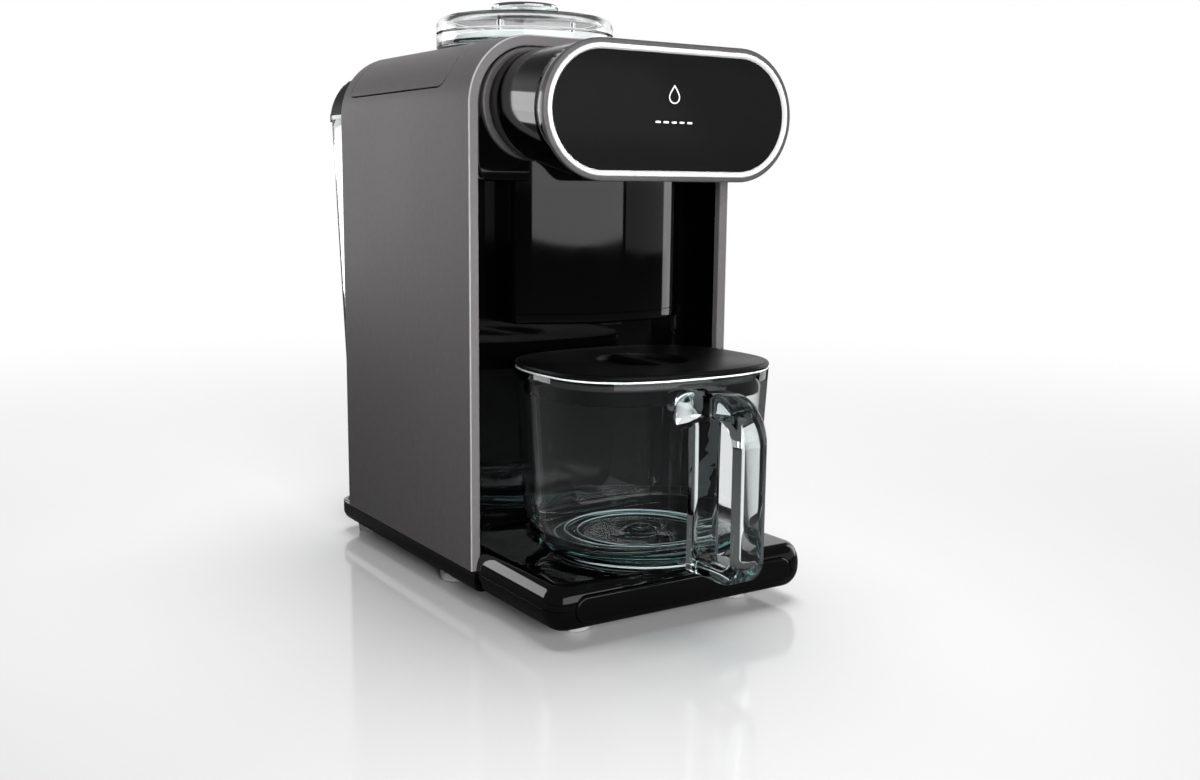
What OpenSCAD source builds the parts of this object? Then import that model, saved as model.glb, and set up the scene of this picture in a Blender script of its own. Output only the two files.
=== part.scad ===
// Counter-top electric brewer: a shell with a round-ended control head over a carafe bay,
// a water tank behind it, and a clear hopper on a hood that hinges at the roof's right side.
// Millimetres, +Z up, -Y to the front, origin on the standing plane under the middle of the
// footprint. x = 0 is the machine's mid-plane.

/* [Shell] */
// Width over the shell's side walls
shell_w = 178; // [176:1:182]
// Front plane of the shell
shell_front = -47; // [-49:1:-46]
// Rear edge of the shell
shell_back = 132; // [131:0.5:132]
// Height of the shell's lower edge above the standing plane
shell_z0 = 22; // [21.5:0.5:22]
// Height of the flat roof
shell_z1 = 319; // [318.5:0.5:320]
// Radius of the two long roof edges
shell_r = 39; // [37:1:40]
// Sheet thickness of the shell
shell_t = 3; // [2.5:0.25:3]
// Width of the rolled front rim
rim_t = 6; // [5:0.5:6]

/* [Hood] */
// Height of the hood's seam on the left side wall
hood_z0 = 292; // [291:1:294]
// Front seam of the hood
hood_front = -14; // [-15:1:-13]
// Rear seam of the hood
hood_back = 120; // [118:1:121]
// Hinge line, measured from the mid-plane
hinge_x = 63; // [62:0.5:64]
// Radius of the hinge barrel
barrel_r = 3; // [2.8:0.1:3]

/* [Hopper] */
// Place of the hopper, chamber and motor axis behind the origin
hopper_y = 48; // [47:0.5:49]
// Outer radius of the clear hopper
hopper_r = 55; // [54:0.5:56]
// Height of the crown of the domed lid
dome_z = 343.5; // [342.5:0.5:344]
// Radius of the lid's knob
knob_r = 24; // [20:1:26]

/* [Head] */
// Front plane of the head
head_front = -111.3; // [-114:0.1:-108]
// Half width of the head
head_w2 = 80.8; // [78:0.2:82]
// Lower edge of the head
head_z0 = 240.5; // [240.5:0.5:242]
// Upper edge of the head
head_z1 = 312.5; // [311:0.5:313]
// Width of the satin outer band
band_t = 2.6; // [2:0.2:3]
// Width of the polished trim ring
ring_t = 3; // [2.5:0.1:3.5]

/* [Column] */
// Place of the nozzle's axis under the dispensing column
column_y = -43; // [-44:0.5:-42]
// Half width of the dispensing column
column_w2 = 58; // [57:0.5:59]
// Front of the dispensing column
column_front = -59.5; // [-60:0.5:-59]
// Radius of the column's bowed front
column_bow_r = 96; // [90:1:100]
// Lower end of the dispensing column
column_z0 = 160; // [160:0.5:162]

/* [Base] */
// Half width of the base in front of the shell
base_w2 = 85; // [84:0.5:85.5]
// Front of the base
base_front = -133; // [-135:0.5:-132]
// Underside of the base
base_z0 = 8; // [8:0.5:9]
// Height of the deck that the carafe stands on
deck_z = 34; // [33.5:0.5:34.5]
// Half width of the drip drawer's front
drawer_w2 = 73; // [71:0.5:74]
// Radius of the base's lower edge
base_r = 9; // [8:0.5:9]
// Radius of the deck's shoulder
deck_r = 6; // [5:0.5:6]
// Height of a foot
foot_h = 8; // [7:0.5:8]

/* [Tank] */
// Half width of the water tank
tank_w2 = 80; // [78:0.5:81]
// Front wall of the water tank
tank_front = 134.3; // [134.3:0.1:134.6]
// Rear of the tank at its rim
tank_back = 182.5; // [178:0.5:184]
// Rear of the tank at its bottom
tank_foot = 147; // [146:0.5:149]
// Underside of the tank
tank_z0 = 24; // [24:0.5:25]
// Height of the tank's rim
tank_z1 = 283; // [280:1:284]

/* [Carafe] */
// Place of the carafe's axis
jug_y = -85; // [-86:0.5:-84]
// Half width of the carafe's mouth
jug_a = 69; // [67:0.5:70]
// Half depth of the carafe's mouth
jug_b = 57; // [56:0.5:57]
// Height of the carafe's rim
jug_z1 = 139; // [137:0.5:139.5]
// Thickness of the glass wall
glass_t = 3.2; // [2.8:0.1:3.6]
// Front face of the carafe's handle
handle_front = -185; // [-186:0.5:-182]
// Width of the handle
handle_w = 18; // [16:0.5:20]

/* [Hidden] */

$fn = 72;
eps = 0.05;        // overshoot of a cutting tool
gap = 0.4;         // free gap beside a moving piece
run = 0.05;        // running clearance of a pin or shaft
fine = 128;        // facets round a large circle
hull_fn = 32;      // facets round the circles that a hull joins

hinge_z = shell_z1 - shell_r + sqrt(pow(shell_r, 2) - pow(hinge_x - shell_w / 2 + shell_r, 2)) + 0.7;
hinge_pin_r = 1.5;
hinge_y0 = -6;
hinge_y1 = 112;
knuckles = 5;
hood_r0 = 8;           // lower front corner of the hood's side seam
hood_r1 = 5;           // lower rear corner of the hood's side seam
knuckle_step = (hinge_y1 - hinge_y0) / knuckles;

top_deck_z = 300;
top_deck_w2 = 79.5;
cover_y = 126;
chamber_r = 46;
chamber_z0 = 196;
neck_r = 48.8;
bay_back = -7;
bay_w2 = 83;
liner_w2 = bay_w2 + 2.9;
bay_z1 = 240;
head_mid = (head_z0 + head_z1) / 2;
bezel_back = head_front + 10.8;
fascia_y = shell_front + 2;
barrel_root_w2 = 76;
barrel_root_z0 = 253;
barrel_root_z1 = 311;
shaft_r = 3;
outlet_z = 203;
column_corner = 8;    // radius of the column's upright front edges
column_arc_y = column_front + column_bow_r;
column_turn = asin((column_w2 - column_corner) / (column_bow_r - column_corner));
column_corner_y = column_arc_y - (column_bow_r - column_corner) * cos(column_turn);
gland_r = 3.6;
pan_back = 158;
pan_w2 = 87;
pan_corner = 14;
pan_r = 5;             // the pan's lower edge
lid_hinge_y = 136.8;
lid_hinge_z = 310.5;
lid_top_z = lid_hinge_z + barrel_r;
lid_back = 185;
ear_x = 33;            // the tank's two lid ears
lid_wall = 2.4;
valve_x = -30;
valve_y = (tank_front + tank_foot) / 2;
valve_r = 3.2;
seal_r = 4;
seat_front = 132.5;
seat_back = 152;

floor_z = base_z0 + 3; // inside of the base pan
leg_x = 50;            // the four legs that carry the motor
leg_ys = [10, 86];
screw_r = 1.5;
motor_r = 35;
motor_z0 = 92;
bracket_z = 170;
pump_at = [-62, 106];
pump_port_l = 19;
pump_top_z = base_z0 + 55;
heater_x0 = 45;
heater_x1 = 75;
heater_y0 = 94;
heater_y1 = 118;
heater_z1 = 84;
steam_z = 230;         // hot water inlet of the chamber
steam_x = 70;
hose_r = 3;
gland_x = 60;
gland_z = 15;
gland_flange = 3;
blade_z = 210;
coupling_z = 174;

jar_z0 = shell_z1 + 1.2;
jar_z1 = shell_z1 + 10;
jar_wall = 3;
neck_wall = 2.8;
neck_z0 = shell_z1 - 14.5;
dome_shoulder_z = shell_z1 + 14;
plug_z0 = shell_z1 - 1;
plug_z1 = shell_z1 + 9.8;
plug_r = 44;
post_r = 30;

nozzle_r = 11.8;
tray_wall = 2;
tray_w2 = 66;
plate_w2 = 68;
plate_r = 36;
skirt_in = glass_t + 1.6; // the carafe lid's skirt, measured in from the jug's outline
seam_in = 0.4;            // visible gap between the jug's rim and its lid

// ---------------------------------------------------------------- helpers

// Extrudes an (x, z) outline from y0 to y1.
module along_y(y0, y1) translate([0, y1, 0]) rotate([90, 0, 0]) linear_extrude(y1 - y0) children();

// Extrudes a (y, z) outline from x0 to x1.
module along_x(x0, x1) translate([x0, 0, 0]) rotate([90, 0, 90]) linear_extrude(x1 - x0) children();

// A box given by its low and high corners.
module block(lo, hi) translate(lo) cube(hi - lo);

// A cylinder whose axis lies along Y.
module rod_y(r, x, z, y0, y1) translate([x, y1, z]) rotate([90, 0, 0]) cylinder(r = r, h = y1 - y0);

// A cylinder whose axis lies along X.
module rod_x(r, y, z, x0, x1) translate([x0, y, z]) rotate([0, 90, 0]) cylinder(r = r, h = x1 - x0);

// An upright tube wall.
module tube(r_out, r_in, z0, z1) translate([0, 0, z0]) difference() {
    cylinder(r = r_out, h = z1 - z0, $fn = fine);
    translate([0, 0, -eps]) cylinder(r = r_in, h = z1 - z0 + 2 * eps, $fn = fine);
}

// A rectangle with rounded corners, given by its sides.
module round_rect(x0, x1, y0, y1, r) {
    translate([x0 + r, y0]) square([x1 - x0 - 2 * r, y1 - y0]);
    translate([x0, y0 + r]) square([x1 - x0, y1 - y0 - 2 * r]);
    for (x = [x0 + r, x1 - r], y = [y0 + r, y1 - r]) translate([x, y]) circle(r);
}

// A slab whose lower and upper edges are rounded, about a plan with one corner radius.
module soft_slab(w2, y0, y1, corner, z0, z1, r0, r1) hull() for (t = [0 : 22.5 : 90]) {
    low = r0 * (1 - sin(t));
    high = r1 * (1 - sin(t));
    translate([0, 0, z0 + r0 * (1 - cos(t))]) linear_extrude(eps)
        round_rect(low - w2, w2 - low, y0 + low, y1 - low, corner - low, $fn = hull_fn);
    translate([0, 0, z1 - r1 * (1 - cos(t)) - eps]) linear_extrude(eps)
        round_rect(high - w2, w2 - high, y0 + high, y1 - high, corner - high, $fn = hull_fn);
}

// A doorway outline: flat foot, two rounded upper corners.
module arch(w2, z0, z1, r) {
    translate([-w2, z0]) square([2 * w2, z1 - r - z0]);
    translate([r - w2, z0]) square([2 * (w2 - r), z1 - z0]);
    for (s = [-1, 1]) translate([s * (w2 - r), z1 - r]) circle(r, $fn = fine);
}

// A flat-sided outline with half-round ends.
module stadium(w2, z0, z1) {
    r = (z1 - z0) / 2;
    translate([r - w2, z0]) square([2 * (w2 - r), z1 - z0]);
    for (s = [-1, 1]) translate([s * (w2 - r), z0 + r]) circle(r, $fn = fine);
}

// The head's outline, drawn in by a margin.
module head_outline(inset) stadium(head_w2 - inset, head_z0 + inset, head_z1 - inset);

// A squarish oval: |x/a|^n + |y/b|^n = 1.
function sgn_pow(v, p) = sign(v) * pow(abs(v), p);
function oval(a, b, n, steps) = [
    for (i = [0 : steps - 1]) let (t = 360 * i / steps)
        [a * sgn_pow(cos(t), 2 / n), b * sgn_pow(sin(t), 2 / n)]
];
module oval_slab(a, b, n, z0, z1) translate([0, jug_y, z0]) linear_extrude(z1 - z0)
    polygon(oval(a, b, n, 64));

// Points of an arc, for outlines with round corners.
function arc(y, z, r, a0, a1, steps = 10) = [
    for (i = [0 : steps]) let (t = a0 + (a1 - a0) * i / steps) [y + r * cos(t), z + r * sin(t)]
];

// A run of round hose through a list of points, a little fuller at its bends.
module hose(points, r) {
    for (i = [0 : len(points) - 2]) {
        step = points[i + 1] - points[i];
        length = norm(step);
        translate(points[i])
            rotate([0, acos(step.z / length), atan2(step.y, step.x)])
                cylinder(r = r, h = length, $fn = hull_fn);
        if (i > 0) translate(points[i]) sphere(r + 0.3, $fn = hull_fn);
    }
}

// ---------------------------------------------------------------- shell and hood

// The space that the hood takes, grown or shrunk by a margin.
module hood_zone(margin) along_x(-shell_w, hinge_x + margin - gap) polygon(concat(
    arc(hood_front + hood_r0, hood_z0 + hood_r0, hood_r0 + margin, 270, 180),
    [[hood_front - margin, shell_z1 + 30], [hood_back + margin, shell_z1 + 30]],
    arc(hood_back - hood_r1, hood_z0 + hood_r1, hood_r1 + margin, 0, -90)
));

// The pocket that the hinge barrel lies in.
module hinge_pocket(x0, x1) block([x0, hinge_y0 - 1, shell_z1 - 30], [x1, hinge_y1 + 1, shell_z1 + 5]);

// One side's hinge knuckles: every second piece of the barrel, with a tab to its sheet.
module knuckle_row(first, side, bore_r) {
    difference() {
        for (i = [first : 2 : knuckles - 1]) {
            y0 = hinge_y0 + i * knuckle_step + gap / 2;
            y1 = y0 + knuckle_step - gap;
            rod_y(barrel_r, hinge_x, hinge_z, y0, y1);
            block([min(hinge_x, hinge_x + side * 4.6), y0, hinge_z - 2.8],
                  [max(hinge_x, hinge_x + side * 4.6), y1, hinge_z - 1]);
        }
        rod_y(bore_r, hinge_x, hinge_z, hinge_y0 - 1, hinge_y1 + 1);
    }
}

module outer_shell() color([0.35, 0.345, 0.35]) {
    difference() {
        along_y(shell_front, shell_back) arch(shell_w / 2, shell_z0, shell_z1, shell_r);
        along_y(shell_front + 5, shell_back + eps)
            arch(shell_w / 2 - shell_t, shell_z0 - eps, shell_z1 - shell_t, shell_r - shell_t);
        along_y(shell_front - eps, shell_front + 6)
            arch(shell_w / 2 - rim_t, shell_z0 - eps, shell_z1 - rim_t, shell_r - rim_t);
        hood_zone(gap);
        hinge_pocket(hinge_x - 4, hinge_x + barrel_r + gap);
    }
    knuckle_row(0, 1, hinge_pin_r);
}

module hinge_pin() color("silver") rod_y(hinge_pin_r, hinge_x, hinge_z, hinge_y0 - 0.5, hinge_y1 + 0.5);

module hood_cover() color([0.38, 0.37, 0.375]) {
    difference() {
        intersection() {
            along_y(hood_front - 1, hood_back + 1) difference() {
                arch(shell_w / 2, shell_z0, shell_z1, shell_r);
                arch(shell_w / 2 - shell_t, shell_z0 - 1, shell_z1 - shell_t, shell_r - shell_t);
            }
            hood_zone(0);
        }
        hinge_pocket(hinge_x - barrel_r - gap, shell_w);
        translate([0, hopper_y, shell_z1 - 8]) cylinder(r = neck_r + 0.4, h = 12, $fn = fine);
    }
    knuckle_row(1, -1, hinge_pin_r + run);
}

module top_deck() color([0.08, 0.08, 0.09]) difference() {
    translate([0, 0, top_deck_z - shell_t]) linear_extrude(shell_t) square_deck();
    translate([0, hopper_y, top_deck_z - 5]) cylinder(r = chamber_r + 0.6, h = 10, $fn = fine);
}
module square_deck() translate([-top_deck_w2, fascia_y + shell_t])
    square([2 * top_deck_w2, cover_y - fascia_y - shell_t]);

module rear_cover() color([0.07, 0.07, 0.08]) difference() {
    along_y(cover_y, cover_y + shell_t)
        arch(shell_w / 2 - shell_t - gap, shell_z0, shell_z1 - shell_t - gap, shell_r - shell_t - gap);
    // Two banks of cooling slots behind the motor.
    for (x = [-52 : 8 : 52], z = [70, 190])
        block([x - 1.5, cover_y - 1, z], [x + 1.5, cover_y + shell_t + 1, z + 46]);
}

module front_fascia() color([0.03, 0.03, 0.035]) difference() {
    along_y(fascia_y, fascia_y + shell_t)
        arch(shell_w / 2 - rim_t - eps, bay_z1, shell_z1 - rim_t - eps, shell_r - rim_t);
    // Wire way into the head.
    along_y(fascia_y - 1, fascia_y + 4) stadium(30, head_mid - 8, head_mid + 14);
}

// Side walls, back wall and ceiling of the carafe bay.
module cavity_liner() color([0.03, 0.03, 0.035]) difference() {
    block([-liner_w2, shell_front + 5, deck_z], [liner_w2, bay_back + shell_t, bay_z1 + 2.5]);
    block([-bay_w2, shell_front - 1, deck_z - 1], [bay_w2, bay_back, bay_z1]);
    rod_y(5.4, 0, outlet_z, bay_back - 1, bay_back + 4);
}

// ---------------------------------------------------------------- head and column

// The barrel between the fascia and the bezel, drawn in by the wall thickness.
module barrel_solid(inset) hull() {
    along_y(fascia_y - 0.5, fascia_y)
        stadium(barrel_root_w2 - inset, barrel_root_z0 + inset, barrel_root_z1 - inset, $fn = hull_fn);
    along_y(bezel_back, bezel_back + 0.5) head_outline(2 + inset, $fn = hull_fn);
}

module head_housing() color([0.02, 0.02, 0.025]) difference() {
    barrel_solid(0);
    hull() {
        along_y(fascia_y - 1, fascia_y + 1)
            stadium(barrel_root_w2 - 2.5, barrel_root_z0 + 2.5, barrel_root_z1 - 2.5, $fn = hull_fn);
        along_y(bezel_back - 1, bezel_back + 0.5) head_outline(4.5, $fn = hull_fn);
    }
}

module head_collar() color([0.22, 0.21, 0.22]) along_y(fascia_y - 2.5, fascia_y - 0.5) difference() {
    stadium(barrel_root_w2 + 4.6, barrel_root_z0 - 2, barrel_root_z1 + 1.5);
    stadium(barrel_root_w2 + 0.6, barrel_root_z0 - 0.8, barrel_root_z1 + 0.4);
}

module head_bezel() color([0.25, 0.245, 0.25]) {
    along_y(head_front, bezel_back) difference() {
        head_outline(0);
        head_outline(band_t);
    }
    along_y(head_front + 5, head_front + 8) difference() {
        head_outline(band_t - 0.5);
        head_outline(12);
    }
}

module head_trim_ring() color([0.85, 0.85, 0.87]) along_y(head_front - 0.8, head_front + 5) difference() {
    head_outline(band_t);
    head_outline(band_t + ring_t);
}

module control_glass() color([0.05, 0.05, 0.055])
    along_y(head_front + 0.3, head_front + 2.6) head_outline(band_t + ring_t);

module control_board() color([0.05, 0.3, 0.15]) {
    along_y(head_front + 8, head_front + 9.6) round_box_2d(58, head_mid - 20, head_mid + 20, 3);
    // Touch pads on springs behind the glass, a driver chip and the plug of the ribbon.
    for (x = [-36 : 18 : 36]) rod_y(4, x, head_mid, head_front + 4.2, head_front + 8);
    block([-8, head_front + 9.6, head_mid - 12], [8, head_front + 11.4, head_mid + 4]);
    block([30, head_front + 9.6, head_mid - 4], [44, head_front + 15, head_mid + 2]);
}
module round_box_2d(w2, z0, z1, r) round_rect(-w2, w2, z0, z1, r);

// One upright front edge of the column, from the bowed front round to the straight side.
function column_edge(inset, side) = [
    for (i = [1 : 8]) let (a = column_turn + (90 - column_turn) * i / 8, r = column_corner - inset)
        [side * (column_w2 - column_corner + r * sin(a)), column_corner_y - r * cos(a)]
];
function column_bow(inset) = [
    for (i = [-16 : 16]) let (a = column_turn * i / 16, r = column_bow_r - inset)
        [r * sin(a), column_arc_y - r * cos(a)]
];
function turned(points) = [for (i = [len(points) - 1 : -1 : 0]) points[i]];

// Plan of the column: a bowed front, rounded edges and straight sides to the bay's back wall.
module column_plan(inset) polygon(concat(
    column_bow(inset),
    column_edge(inset, 1),
    [[column_w2 - inset, bay_back], [inset - column_w2, bay_back]],
    turned(column_edge(inset, -1))
));

module column_cover() color([0.06, 0.06, 0.065]) difference() {
    translate([0, 0, column_z0]) linear_extrude(barrel_root_z0 - column_z0) column_plan(0);
    translate([0, 0, column_z0 + 2.5]) linear_extrude(barrel_root_z0 - column_z0) column_plan(2.5);
    barrel_solid(0);
    block([-column_w2 - 2, fascia_y - 3, bay_z1], [column_w2 + 2, 0, barrel_root_z0 + 2]);
    translate([0, column_y, column_z0 - 1]) cylinder(r = 12, h = 5);
}

module dispensing_nozzle() color([0.1, 0.1, 0.1]) translate([0, column_y, 0]) difference() {
    union() {
        translate([0, 0, column_z0 - 1.5]) cylinder(r = 11.8, h = 4);
        translate([0, 0, column_z0 + 2.5]) cylinder(r = 14, h = 2);
        translate([0, 0, column_z0 + 4.5]) cylinder(r = 8, h = 8);
    }
    translate([0, 0, column_z0 - 2]) cylinder(r = 3.5, h = 20);
    translate([0, 0, column_z0 + 9]) cylinder(r = 5, h = 5);
}

module outlet_pipe() color("silver") difference() {
    union() {
        rod_y(5, 0, outlet_z, column_y, hopper_y - chamber_r + 2.5);
        translate([0, column_y, column_z0 + 9]) cylinder(r = 5, h = outlet_z - column_z0 - 9);
        translate([0, column_y, outlet_z]) sphere(5.6);
    }
    rod_y(3.5, 0, outlet_z, column_y, hopper_y - chamber_r + 3);
    translate([0, column_y, column_z0 + 8]) cylinder(r = 3.5, h = outlet_z - column_z0 - 8);
}

module drain_valve() color([0.75, 0.72, 0.6]) difference() {
    union() {
        block([-11, -32, outlet_z - 9], [11, -12, outlet_z + 9]);
        translate([0, -22, outlet_z + 9]) cylinder(r = 8, h = 20);
    }
    rod_y(5, 0, outlet_z, -33, -11);
}

// ---------------------------------------------------------------- base, deck and drawer

module tray_base() color([0.02, 0.02, 0.02]) difference() {
    union() {
        difference() {
            soft_slab(base_w2, base_front, shell_front + 20, 13, base_z0, deck_z, base_r, deck_r);
            block([-100, shell_front, 0], [100, shell_front + 60, deck_z + 1]);
        }
        // Inside the shell the base narrows past the rolled rim and then carries the bay liner.
        block([eps - bay_w2, shell_front - 1, shell_z0], [bay_w2 - eps, shell_front + 7, deck_z]);
        block([-liner_w2, shell_front + 6 + eps, shell_z0], [liner_w2, bay_back + shell_t, deck_z]);
    }
    along_y(base_front - 1, base_front + 3.4)
        stadium(drawer_w2 + gap, base_z0 + 5.1, base_z0 + 20.4);
    block([-tray_w2 - tray_wall, base_front + 3.4 - eps, base_z0 + 5],
          [tray_w2 + tray_wall, shell_front - 4, base_z0 + 20.5]);
    translate([0, 0, deck_z - 2]) linear_extrude(4) plate_plan();
}
module plate_plan() round_rect(-plate_w2, plate_w2, base_front + 5, shell_front, plate_r);

module warming_plate() color([0.08, 0.08, 0.085])
    translate([0, 0, deck_z - 2]) linear_extrude(2) plate_plan();

module drip_drawer() color([0.1, 0.1, 0.1]) difference() {
    block([-tray_w2, base_front + 3, base_z0 + 6], [tray_w2, shell_front - 8, base_z0 + 18.5]);
    block([tray_wall - tray_w2, base_front + 3 + tray_wall, base_z0 + 6 + tray_wall],
          [tray_w2 - tray_wall, shell_front - 8 - tray_wall, base_z0 + 20]);
}

module drawer_front() color([0.02, 0.02, 0.02])
    along_y(base_front - 0.6, base_front + 3) stadium(drawer_w2, base_z0 + 5.5, base_z0 + 20);

module base_pan() color([0.02, 0.02, 0.02]) difference() {
    soft_slab(pan_w2, shell_front - 20, pan_back, pan_corner, base_z0, shell_z0, pan_r, 0);
    translate([0, 0, floor_z]) linear_extrude(shell_z0)
        round_rect(shell_t - pan_w2, pan_w2 - shell_t, shell_front + shell_t, pan_back - shell_t,
            pan_corner - shell_t);
    block([-100, shell_front - 30, 0], [100, shell_front, shell_z0 + 1]);
    at_legs() cylinder(r = screw_r, h = 30);
    rod_y(gland_r + 1.6, gland_x, gland_z, pan_back - 5, pan_back + 1);
}
module at_legs() for (x = [-leg_x, leg_x], y = leg_ys) translate([x, y, 0]) children();

module rubber_feet() color([0.5, 0.5, 0.5])
    for (s = [-1, 1], p = [[55, -103], [71, 10], [69, 141]])
        translate([s * p[0], p[1], 0]) cylinder(r = 9, h = foot_h);

module case_screws() color("silver") at_legs() {
    translate([0, 0, base_z0 - 2]) cylinder(r = 3.2, h = 2);
    translate([0, 0, base_z0]) cylinder(r = screw_r, h = 12);
}

// A grommet through the pan's rear wall; its inner flange stops at the pan's floor.
module cord_gland() color([0.1, 0.1, 0.1]) difference() {
    union() {
        rod_y(gland_r + 1.6, gland_x, gland_z, pan_back - shell_t, pan_back);
        rod_y(gland_r + 3.2, gland_x, gland_z, pan_back, pan_back + gland_flange);
        rod_y(gland_r + 3.2, gland_x, gland_z, pan_back - 2 * gland_flange, pan_back - gland_flange);
    }
    rod_y(gland_r, gland_x, gland_z, pan_back - 7, pan_back + 4);
    block([gland_x - 10, pan_back - 7, 0], [gland_x + 10, pan_back - gland_flange, floor_z]);
}

// ---------------------------------------------------------------- drive, chamber and water path

module motor() color([0.45, 0.46, 0.48]) translate([0, hopper_y, 0]) {
    translate([0, 0, motor_z0]) cylinder(r = motor_r, h = bracket_z - motor_z0, $fn = fine);
    translate([0, 0, motor_z0 - 8]) cylinder(r = 12, h = 8);
    translate([0, 0, bracket_z]) cylinder(r = 9, h = 2.5);
}

// A plate over the motor on four legs that stand on the base pan.
module motor_bracket() color([0.7, 0.7, 0.72]) difference() {
    union() {
        block([-leg_x - 8, leg_ys[0] - 8, bracket_z], [leg_x + 8, leg_ys[1] + 8, bracket_z + shell_t]);
        at_legs() translate([0, 0, floor_z]) cylinder(r = 4, h = bracket_z + 1 - floor_z);
    }
    translate([0, hopper_y, bracket_z - 10]) cylinder(r = 14, h = 20);
    at_legs() cylinder(r = screw_r, h = base_z0 + 14);
}

module chamber() color([0.78, 0.78, 0.8]) translate([0, hopper_y, 0]) difference() {
    union() {
        translate([0, 0, chamber_z0]) cylinder(r = chamber_r, h = top_deck_z + 1.5 - chamber_z0, $fn = fine);
        translate([0, 0, top_deck_z]) cylinder(r = chamber_r + 6, h = 1.5, $fn = fine);
    }
    translate([0, 0, chamber_z0 + 2]) cylinder(r = chamber_r - 1.5, h = 120, $fn = fine);
    translate([0, 0, chamber_z0 - 1]) cylinder(r = 8, h = 10);
    rod_y(5, 0, outlet_z, -chamber_r - 5, -chamber_r + 10);
    rod_x(hose_r, 0, steam_z, chamber_r - 10, chamber_r + 5);
}

module chamber_heater() color([0.6, 0.45, 0.3]) translate([0, hopper_y, 0]) difference() {
    tube(50, chamber_r, chamber_z0 + 1, chamber_z0 + 18);
    block([-9, -60, chamber_z0], [9, -20, chamber_z0 + 20]);
}

module chamber_seal() color([0.85, 0.85, 0.83]) translate([0, hopper_y, 0])
    tube(neck_r + 2, chamber_r - 1.5, top_deck_z + 1.5, top_deck_z + 4);

module shaft_bushing() color([0.7, 0.6, 0.35]) translate([0, hopper_y, 0]) difference() {
    union() {
        translate([0, 0, chamber_z0 - 4]) cylinder(r = 8, h = 8);
        translate([0, 0, chamber_z0 - 4]) cylinder(r = 11, h = 4);
    }
    translate([0, 0, chamber_z0 - 5]) cylinder(r = shaft_r + run, h = 10);
}

module blade_shaft() color("silver") translate([0, hopper_y, 0]) {
    translate([0, 0, chamber_z0 - 9]) cylinder(r = shaft_r, h = 31);
}

module drive_coupling() color([0.12, 0.12, 0.12]) translate([0, hopper_y, 0]) difference() {
    union() {
        translate([0, 0, coupling_z]) cylinder(r = 11, h = 9);
        for (a = [0 : 60 : 300]) rotate([0, 0, a]) translate([7.5, 0, coupling_z + 9]) cylinder(r = 2, h = 3);
        translate([0, 0, coupling_z + 9]) cylinder(r = 5, h = 7);
    }
    translate([0, 0, chamber_z0 - 9]) cylinder(r = shaft_r, h = 10);
}

// Four arms on a hub, two tipped up and two tipped down.
module blade() color([0.8, 0.8, 0.82]) translate([0, hopper_y, 0]) difference() {
    union() {
        translate([0, 0, blade_z]) cylinder(r = 7, h = 6);
        for (a = [0 : 90 : 270]) rotate([0, 0, a]) translate([4, 0, blade_z + 3])
            rotate([0, a % 180 == 0 ? -9 : 9, 0]) block([0, -5, -0.7], [28, 5, 0.7]);
    }
    translate([0, 0, blade_z - 10]) cylinder(r = shaft_r, h = 30);
}

// The direction of the pump's inlet port, towards the tank's hose.
hose_turn = [valve_x, heater_y1, gland_z + 1];
to_turn = [hose_turn.x - pump_at.x, hose_turn.y - pump_at.y];
port_way = to_turn / norm(to_turn);

module water_pump() color([0.85, 0.85, 0.82]) translate([pump_at.x, pump_at.y, 0]) {
    translate([0, 0, floor_z]) cylinder(r = 15, h = 32);
    translate([0, 0, floor_z + 32]) cylinder(r = 12, h = 16);
    translate([0, 0, floor_z + 48]) cylinder(r = 4, h = pump_top_z - floor_z - 48);
    translate([0, 0, hose_turn.z]) rotate([0, 90, atan2(port_way.y, port_way.x)])
        cylinder(r = hose_r, h = pump_port_l);
}

module flow_heater() color([0.7, 0.7, 0.7]) {
    block([heater_x0, heater_y0, floor_z], [heater_x1, heater_y1, heater_z1]);
    for (z = [20 : 8 : heater_z1 - 8]) block([heater_x0 - 2, heater_y0, z], [heater_x0, heater_y1, z + 3]);
}

module thermal_fuse() color([0.9, 0.9, 0.88]) rod_x(2.5, pump_at.y, heater_z1 + 2.5, 54, 66);

// Tank to pump, pump over to the heater, heater up to the chamber.
module water_hoses() color([0.9, 0.9, 0.88]) {
    hose([[valve_x, seat_front, hose_turn.z], hose_turn,
          [pump_at.x + pump_port_l * port_way.x, pump_at.y + pump_port_l * port_way.y, hose_turn.z]], hose_r);
    hose([[pump_at.x, pump_at.y, pump_top_z], [pump_at.x, pump_at.y, heater_z1 + 14],
          [heater_x0 + 4, pump_at.y, heater_z1 + 14], [heater_x0 + 4, pump_at.y, heater_z1]], hose_r);
    hose([[steam_x, heater_y0 + 6, heater_z1], [steam_x, heater_y0 + 6, steam_z],
          [steam_x, hopper_y, steam_z], [chamber_r, hopper_y, steam_z]], hose_r);
}

module power_board() color([0.1, 0.35, 0.2]) {
    block([-84, 20, 70], [-82.4, 116, 176]);
    for (y = [34, 62, 90]) rod_x(7, y, 96, -82.4, -66);
    block([-82.4, 28, 120], [-68, 56, 148]);
    block([-82.4, 70, 124], [-72, 104, 142]);
}

// ---------------------------------------------------------------- hopper and its lid

module hopper_jar() color([0.8, 0.9, 0.92, 0.4]) translate([0, hopper_y, 0]) {
    tube(hopper_r, hopper_r - jar_wall, jar_z0, jar_z1);
    tube(hopper_r - jar_wall + 0.1, neck_r - neck_wall, jar_z0, jar_z0 + 2);
    tube(neck_r, neck_r - neck_wall, neck_z0, jar_z0 + 0.1);
}

module hopper_gasket() color([0.1, 0.1, 0.1]) translate([0, hopper_y, 0])
    tube(hopper_r - 0.8, neck_r + 0.5, shell_z1, jar_z0);

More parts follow.
